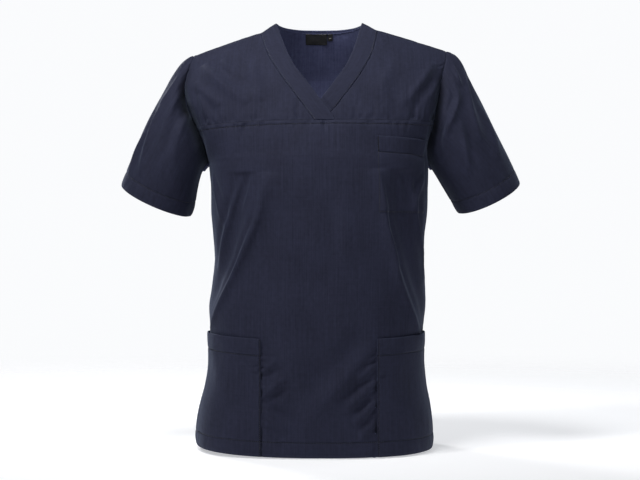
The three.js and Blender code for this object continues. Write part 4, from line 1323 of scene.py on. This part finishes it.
def make_sleeve(side, name):
    """A tube from the armhole's ring to the ring of the cuff."""
    shape = SLEEVES[side]
    v_front = np.linspace(UNDERARM, FRONT_TOP, 500)
    v_back = np.linspace(BACK_TOP, UNDERARM, 400)
    up_front = front(np.full(500, float(side)), v_front)
    down_back = back(np.full(400, float(side)), v_back)
    rounds = np.concatenate([lengths_of(up_front) / lengths_of(up_front)[-1] / 2,
                             0.5 + lengths_of(down_back)[1:] / lengths_of(down_back)[-1] / 2])
    ring = np.concatenate([up_front, down_back[1:]])
    around = np.arange(SLEEVE_COLUMNS) / SLEEVE_COLUMNS
    entry = np.stack([np.interp(around, rounds, ring[:, k]) for k in range(3)], axis=-1)
    share = stations(SLEEVE_LENGTH, 2.5, (-HEM_DEPTH,)) / SLEEVE_LENGTH
    angle = np.pi * (1 - 2 * around)
    tip, forwards = np.cos(angle), np.sin(angle)
    slope = math.radians(shape["slope"])
    outer_edge = np.array([side * math.cos(slope), 0, math.sin(slope)])
    axis = np.array([side * math.sin(slope), 0, -math.cos(slope)])
    cuff = (np.array(shape["cuff"], float) + outer_edge * (shape["across"] * tip)[:, None]
            + np.array([0, -1.0, 0]) * (shape["deep"] * forwards)[:, None]
            + axis * (shape["front_drop"] * (0.5 + forwards))[:, None])
    weights = {"tip": np.maximum(0, tip) ** 2, "under": np.maximum(0, -tip) ** 2,
               "front": np.maximum(0, forwards) ** 2, "back": np.maximum(0, -forwards) ** 2}
    leave, arrival = np.zeros((SLEEVE_COLUMNS, 3)), np.zeros(SLEEVE_COLUMNS)
    for part, weight in weights.items():
        x, y, z = shape[part]
        leave += np.array([side * x, y, z]) * weight[:, None]
        arrival += weight * SLEEVE_ARRIVAL[part]
    arrive = axis * arrival[:, None]
    points = bridge(entry[None], leave[None], cuff[None], arrive[None], share[:, None])
    centre = np.array(shape["cuff"], float) - axis * (SLEEVE_LENGTH * (1 - share))[:, None]
    outwards = points - centre[:, None, :]
    outwards = unit(outwards - axis * (outwards @ axis)[..., None])
    relief = shape["full"] * weights["tip"][None, :] * bell((share - 0.17) / 0.12)[:, None]
    for place, leans, height, width, start, end in SLEEVE_FOLDS[side]:
        down = (share - start) / (end - start)
        off = around[None, :] - place - leans * down[:, None]
        fade = np.sin(np.pi * np.clip(down, 0, 1))
        relief = relief + height * fade[:, None] * bell(off / width)
    points = points + outwards * relief[..., None]
    in_front = np.where(around < 0.5, entry[:, 2], 0)
    distance = np.linalg.norm(points - entry[None], axis=-1)
    painted_armhole_shade = sink_armhole(points, side, in_front[None, :], distance, 20)
    # Its end is turned in under the edge of the armhole
    points[0] -= 1.2 * unit(points[1] - points[0])
    sheet = Sheet(name + "_cloth", points, outwards, tube=True)
    # Painted shade darkens the head of the sleeve towards the armhole's seam
    sheet.wear_and_shade -= ARMHOLE_PAINTED_SHADE * painted_armhole_shade
    across, up = sheet.plane()
    turn = around[None, :] * np.ones_like(up)
    add_drape_round(sheet, turn, 131 + side, 1.4)
    add_creases(sheet, SLEEVE_CREASES[side])
    add_creases(sheet, SLEEVE_BACK_CREASES[side], 1)
    add_puckers(sheet, sheet.from_foot, across, 134 + side, 1.3, 5.0, 15)
    # The head of the sleeve is eased in, mostly at its tip
    eased = np.clip(weights["tip"][None, :] + 0.35, 0, 1)
    eased = eased * bell(sheet.from_foot / 36) * ease(sheet.from_foot / 4)
    sheet.relief += 1.2 * eased * hills(across / 11, 0.3 * up / 11, 137 + side)
    add_seam(sheet, sheet.from_foot, 1.1, 1.7)
    beyond = np.maximum(sheet.from_top - HEM_DEPTH, 0)
    gather = bell(beyond / 11) * ease(beyond / 1.5)
    sheet.relief += 0.35 * hills(across / 8.5, 0, 141 + side) * gather
    add_hem(sheet, sheet.from_top, HEM_DEPTH, 144 + side, across)
    # The underarm seam
    seam = np.minimum(sheet.from_start, sheet.from_end)
    sheet.relief -= 0.9 * bell(seam / 1.8)
    sheet.finish()
    pieces[name] = sheet
    stitch_lines.append((name + "_stitches", [line_up(sheet, sheet.from_top, HEM_DEPTH)]))


def add_drape_round(sheet, turn, seed, amount):
    """Slow hills and fine crumple round a tube, which meet where it closes."""
    circle = 2 * np.pi * turn
    x, y = 1.25 * np.cos(circle), 1.25 * np.sin(circle)
    up = sheet.up
    slow = amount * hills(x + 9 + up / 170, y + 9 + up / 120, seed)
    slow = slow + 0.45 * amount * hills(3 * x + 20 + up / 60, 3 * y + 20, seed + 1)
    sheet.relief += slow * ease(sheet.from_foot / SEAM_HOLD)
    sheet.relief += 0.10 * hills(9 * x + 40, 9 * y + 40 + up / 14, seed + 2)


YOKE_CREASES = {
    RIGHT: [
        ([(-202, -40), (-180, -62), (-156, -82), (-122, -106)], 5.6, 13, 0.5),
        ([(-212, -70), (-196, -90), (-170, -112)], 3.6, 9, -0.4),
        ([(-208, -92), (-199, -112), (-191, -132)], 3.6, 7, 0.4),
        ([(-120, -40), (-108, -74), (-104, -108)], 3.0, 11, 0.4),
        ([(-170, -30), (-150, -52), (-132, -66)], 3.0, 9, 0.4),
    ],
    LEFT: [
        ([(196, -34), (178, -62), (158, -90), (136, -112)], 3.6, 10, -0.5),
        ([(203, -66), (190, -88), (174, -108)], 2.2, 8, 0.5),
        ([(204, -98), (196, -112), (188, -124)], 1.6, 7, -0.4),
        ([(118, -44), (108, -76), (102, -106)], 2.0, 12, -0.4),
    ],
}
SLEEVE_CREASES = {
    RIGHT: [
        ([(-272, -108), (-284, -133), (-294, -166), (-308, -227)], 4.0, 8, 0.6),
        ([(-236, -80), (-254, -112), (-268, -160), (-282, -220)], 2.8, 9, -0.5),
        ([(-228, -120), (-240, -158), (-250, -200)], 2.6, 7, 0.5),
        ([(-300, -150), (-318, -190), (-330, -225)], 2.2, 8, 0.4),
        ([(-250, -60), (-268, -92), (-284, -118)], 1.6, 7, 0.4),
    ],
    LEFT: [
        ([(228, -60), (236, -89), (234, -105), (223, -139), (214, -170), (217, -199)], 4.2, 6.5, -0.6),
        ([(252, -48), (257, -84), (262, -120), (276, -170)], 3.4, 7.5, 0.5),
        ([(230, -34), (237, -50), (243, -72)], 2.6, 5, 0.5),
        ([(280, -110), (296, -150), (308, -200)], 2.4, 9, -0.4),
        ([(240, -140), (248, -190), (256, -235)], 2.4, 8, 0.5),
    ],
}
SLEEVE_BACK_CREASES = {
    RIGHT: [
        ([(-244, -74), (-262, -120), (-284, -180), (-300, -235)], 2.4, 9, 0.5),
        ([(-228, -110), (-244, -160), (-258, -215)], 2.0, 9, -0.5),
    ],
    LEFT: [
        ([(238, -60), (254, -110), (272, -165), (290, -225)], 2.4, 9, -0.5),
        ([(222, -96), (236, -150), (250, -210)], 2.0, 9, 0.5),
    ],
}
BACK_CREASES = [
    ([(-200, -96), (-168, -150), (-150, -230), (-146, -330)], 4.2, 9, 0.5),
    ([(196, -90), (170, -150), (156, -230), (150, -330)], 4.2, 9, -0.5),
    ([(-188, -190), (-164, -250), (-150, -310)], 2.9, 8, -0.4),
    ([(184, -190), (166, -246), (150, -300)], 2.9, 8, 0.4),
    ([(-66, -150), (-52, -230), (-48, -330), (-58, -440)], 2.9, 15, 0.4),
    ([(60, -160), (52, -250), (60, -350), (54, -470)], 2.9, 15, -0.4),
    ([(-10, -260), (6, -360), (-4, -480), (8, -600)], 2.4, 17, 0.4),
    ([(-120, -380), (-112, -470), (-126, -560), (-118, -660)], 3.8, 12, 0.5),
    ([(118, -370), (110, -470), (124, -570), (118, -670)], 3.8, 12, -0.5),
    ([(-60, -460), (-52, -540), (-62, -620)], 2.7, 12, 0.4),
    ([(56, -470), (66, -560), (60, -650)], 2.7, 12, -0.4),
    ([(-160, -420), (-120, -438), (-76, -432)], 1.8, 9, 0.3),
    ([(156, -436), (116, -452), (70, -444)], 1.8, 9, 0.3),
    ([(-90, 8), (-120, -20), (-150, -60)], 2.2, 10, 0.4),
    ([(88, 8), (116, -22), (146, -62)], 2.2, 10, -0.4),
]


def make_all():
    make_front()
    make_back()
    for side, name in ((RIGHT, "right"), (LEFT, "left")):
        make_yoke(side, "front_yoke_" + name)
        make_sleeve(side, "sleeve_" + name)
        make_pocket("hip_pocket_" + name, side, 0, HIP_POCKET_MOUTH_ROW, HIP_POCKET, 151 + 30 * side)
    make_over_band()
    make_under_band()
    make_binding()
    make_pocket("breast_pocket", LEFT, BREAST_POCKET_FOOT_ROW, BREAST_POCKET_MOUTH_ROW,
                BREAST_POCKET, 211)
    make_label("neck_label", -26, 13, 21, 221)
    make_label("size_tab", 13.8, 23, 13.5, 223)


make_all()

black_label = label_material("black_label")
black_tab = label_material("black_size_tab", (0.28, 0.28, 0.27), 2.6, 6.6, 4.6, 5.9)

# Each piece's material and slot, then its cut: width and length in metres, area in square metres,
# how it is held and by what
CLOTH = {
    "front": (navy, "cloth", (0.603, 0.593), 0.321, "hung",
              ["front_yoke_right", "front_yoke_left", "back_panel"]),
    "back": (navy, "cloth", (0.559, 0.808), 0.376, "hung",
             ["front_yoke_right", "front_yoke_left", "front_panel"]),
    "front_yoke_right": (navy, "cloth", (0.265, 0.216), 0.0331, "draped", ["back_panel"]),
    "front_yoke_left": (navy, "cloth", (0.221, 0.217), 0.0284, "draped", ["back_panel"]),
    "sleeve_right": (navy, "cloth", (0.504, 0.263), 0.0746, "hung",
                     ["front_yoke_right", "back_panel"]),
    "sleeve_left": (navy, "cloth", (0.519, 0.267), 0.0797, "hung",
                    ["front_yoke_left", "back_panel"]),
    "neck_band_right": (navy_trim, "trim", (0.037, 0.240), 0.0071, "draped", ["front_yoke_right"]),
    "neck_band_left": (navy_trim, "trim", (0.037, 0.223), 0.0062, "draped", ["front_yoke_left"]),
    "back_neck_binding": (navy_trim, "trim", (0.010, 0.246), 0.00143, "draped", ["back_panel"]),
    "hip_pocket_right": (navy, "cloth", (0.215, 0.201), 0.0396, "hung", ["front_panel"]),
    "hip_pocket_left": (navy, "cloth", (0.201, 0.202), 0.0380, "hung", ["front_panel"]),
    "breast_pocket": (navy, "cloth", (0.123, 0.133), 0.0150, "hung", ["front_panel"]),
    "neck_label": (black_label, "label", (0.039, 0.021), None, "hung", ["back_panel"]),
    "size_tab": (black_tab, "label", (0.010, 0.0134), None, "hung", ["back_panel"]),
}
# The two panels are the only pieces whose solids have another name
SOLIDS = {"front": "front_panel", "back": "back_panel"}

for k, (name, lines) in enumerate(stitch_lines):
    add_stitches(name, lines, thread, 300 + k)

trunk_rows = pieces["front"].v < UNDERARM
trunk_rows[:3] = False
add_allowances("front_seam_allowances", [
    seam_of(pieces["front"], trunk_rows, 0),
    seam_of(pieces["front"], trunk_rows, -1),
    seam_of(pieces["front"], -1, slice(4, -4)),
], navy)
for name in ("right", "left"):
    ring, outwards = seam_of(pieces["sleeve_" + name], 0, slice(None))
    closed = (np.concatenate([ring, ring[:1]]), np.concatenate([outwards, outwards[:1]]))
    strip_name = "armhole_" + name + "_seam_allowance"
    add_allowances(strip_name, [closed], navy)
    yoke = pieces["front_yoke_" + name]
    add_allowances("shoulder_" + name + "_seam_allowances", [
        seam_of(yoke, -1, slice(4, -4)),
        seam_of(yoke, slice(4, -4), 0),
        seam_of(yoke, slice(4, -4), -1),
    ], navy)

for key, (material, slot, flat, area, held, holders) in CLOTH.items():
    piece = build_sheet(pieces[key], material, SOLIDS.get(key, key))


# Stage, light and camera
def make_stage():
    """A pale floor that fades out well away from the top."""
    mesh = bpy.data.meshes.new("floor")
    rings, turns_round = 10, 64
    vertices, faces = [(0, 0, FLOOR_Z)], []
    for r in range(1, rings + 1):
        reach = FLOOR_RADIUS * r / rings
        for t in range(turns_round):
            turn = 2 * math.pi * t / turns_round
            vertices.append((reach * math.cos(turn), reach * math.sin(turn), FLOOR_Z))
    for t in range(turns_round):
        following = (t + 1) % turns_round
        faces.append((0, 1 + t, 1 + following))
        for r in range(rings - 1):
            a, b = 1 + r * turns_round + t, 1 + r * turns_round + following
            faces.append((a, a + turns_round, b + turns_round, b))
    mesh.from_pydata(vertices, [], faces)
    floor = bpy.data.objects.new("floor", mesh)
    bpy.context.scene.collection.objects.link(floor)
    look = Look("pale_floor")
    look.put(Base_Color=(0.72, 0.72, 0.73, 1), Emission_Color=(0.95, 0.96, 0.98, 1),
             Emission_Strength=0.5, Roughness=0.9)
    length = look.nodes.new("ShaderNodeVectorMath")
    length.operation = "LENGTH"
    look.links.new(look.nodes.new("ShaderNodeTexCoord").outputs["Object"], length.inputs[0])
    fade = look.nodes.new("ShaderNodeMapRange")
    fade.interpolation_type = "SMOOTHERSTEP"
    for socket, value in (("From Min", 0.9), ("From Max", 2.4), ("To Min", 1), ("To Max", 0)):
        fade.inputs[socket].default_value = value
    look.links.new(length.outputs["Value"], fade.inputs["Value"])
    look.lead(fade.outputs["Result"], "Alpha")
    mesh.materials.append(look.material)


def add_light(name, place, size, power, colour=(1, 1, 1), aim=(0, 0, -0.3), spread=180):
    """A round lamp that faces its aim. Its spread is in degrees."""
    light = bpy.data.lights.new(name, "AREA")
    light.shape = "DISK"
    light.size = size
    light.energy = power
    light.color = colour
    light.spread = math.radians(spread)
    lamp = bpy.data.objects.new(name, light)
    bpy.context.scene.collection.objects.link(lamp)
    lamp.location = place
    lamp.rotation_euler = (Vector(aim) - Vector(place)).to_track_quat("-Z", "Y").to_euler()


def make_world():
    """Dim light from all round, a little stronger from above."""
    world = bpy.data.worlds.new("studio")
    bpy.context.scene.world = world
    world.use_nodes = True
    nodes, links = world.node_tree.nodes, world.node_tree.links
    split = nodes.new("ShaderNodeSeparateXYZ")
    links.new(nodes.new("ShaderNodeTexCoord").outputs["Generated"], split.inputs[0])
    bright = nodes.new("ShaderNodeMapRange")
    bright.interpolation_type = "SMOOTHSTEP"
    links.new(split.outputs[2], bright.inputs["Value"])
    for socket, value in (("From Min", -0.6), ("From Max", 0.9), ("To Min", 0.02), ("To Max", 0.11)):
        bright.inputs[socket].default_value = value
    nodes["Background"].inputs["Color"].default_value = (0.93, 0.96, 1.0, 1)
    links.new(bright.outputs["Result"], nodes["Background"].inputs["Strength"])


def make_backdrop():
    """A white shell far round the studio, which the camera sees and which casts no light."""
    mesh = bpy.data.meshes.new("backdrop")
    shell = bmesh.new()
    bmesh.ops.create_uvsphere(shell, u_segments=48, v_segments=24, radius=BACKDROP_RADIUS)
    shell.to_mesh(mesh)
    shell.free()
    backdrop = bpy.data.objects.new("backdrop", mesh)
    bpy.context.scene.collection.objects.link(backdrop)
    look = Look("white_backdrop")
    look.put(Base_Color=(0, 0, 0, 1), Emission_Color=(0.955, 0.965, 0.98, 1), Emission_Strength=1.0)
    mesh.materials.append(look.material)
    backdrop.visible_diffuse = False
    backdrop.visible_glossy = False
    backdrop.visible_transmission = False
    backdrop.visible_shadow = False


make_stage()
make_world()
make_backdrop()
add_light("key", (-1.9, -1.4, 1.8), 0.5, 3.1, (1.0, 0.99, 0.97), aim=(-0.11, 0, 0.08), spread=52)
add_light("front", (0.15, -2.5, 0.35), 0.6, 0.85, aim=(0, 0, 0.05), spread=38)
add_light("top", (-0.4, -0.8, 1.5), 0.6, 4.1, aim=(-0.02, 0, 0), spread=70)
add_light("rim_left", (-1.7, 1.0, 0.7), 0.9, 2.3, (0.80, 0.88, 1.0))
add_light("rim_right", (1.7, 0.9, 0.7), 0.9, 4.5, (0.80, 0.88, 1.0))
add_light("side_left", (2.4, -0.1, 0.9), 1.2, 2.6)
add_light("behind", (-1.5, 2.0, 1.3), 0.7, 36)

bpy.context.scene.view_settings.view_transform = "Standard"
camera = bpy.data.objects.new("camera", bpy.data.cameras.new("camera"))
bpy.context.scene.collection.objects.link(camera)
camera.location = (0, -2.6, -0.34)
camera.rotation_euler = (math.pi / 2, 0, 0)
camera.data.lens = 83.57
camera.data.sensor_width = 36
bpy.context.scene.camera = camera
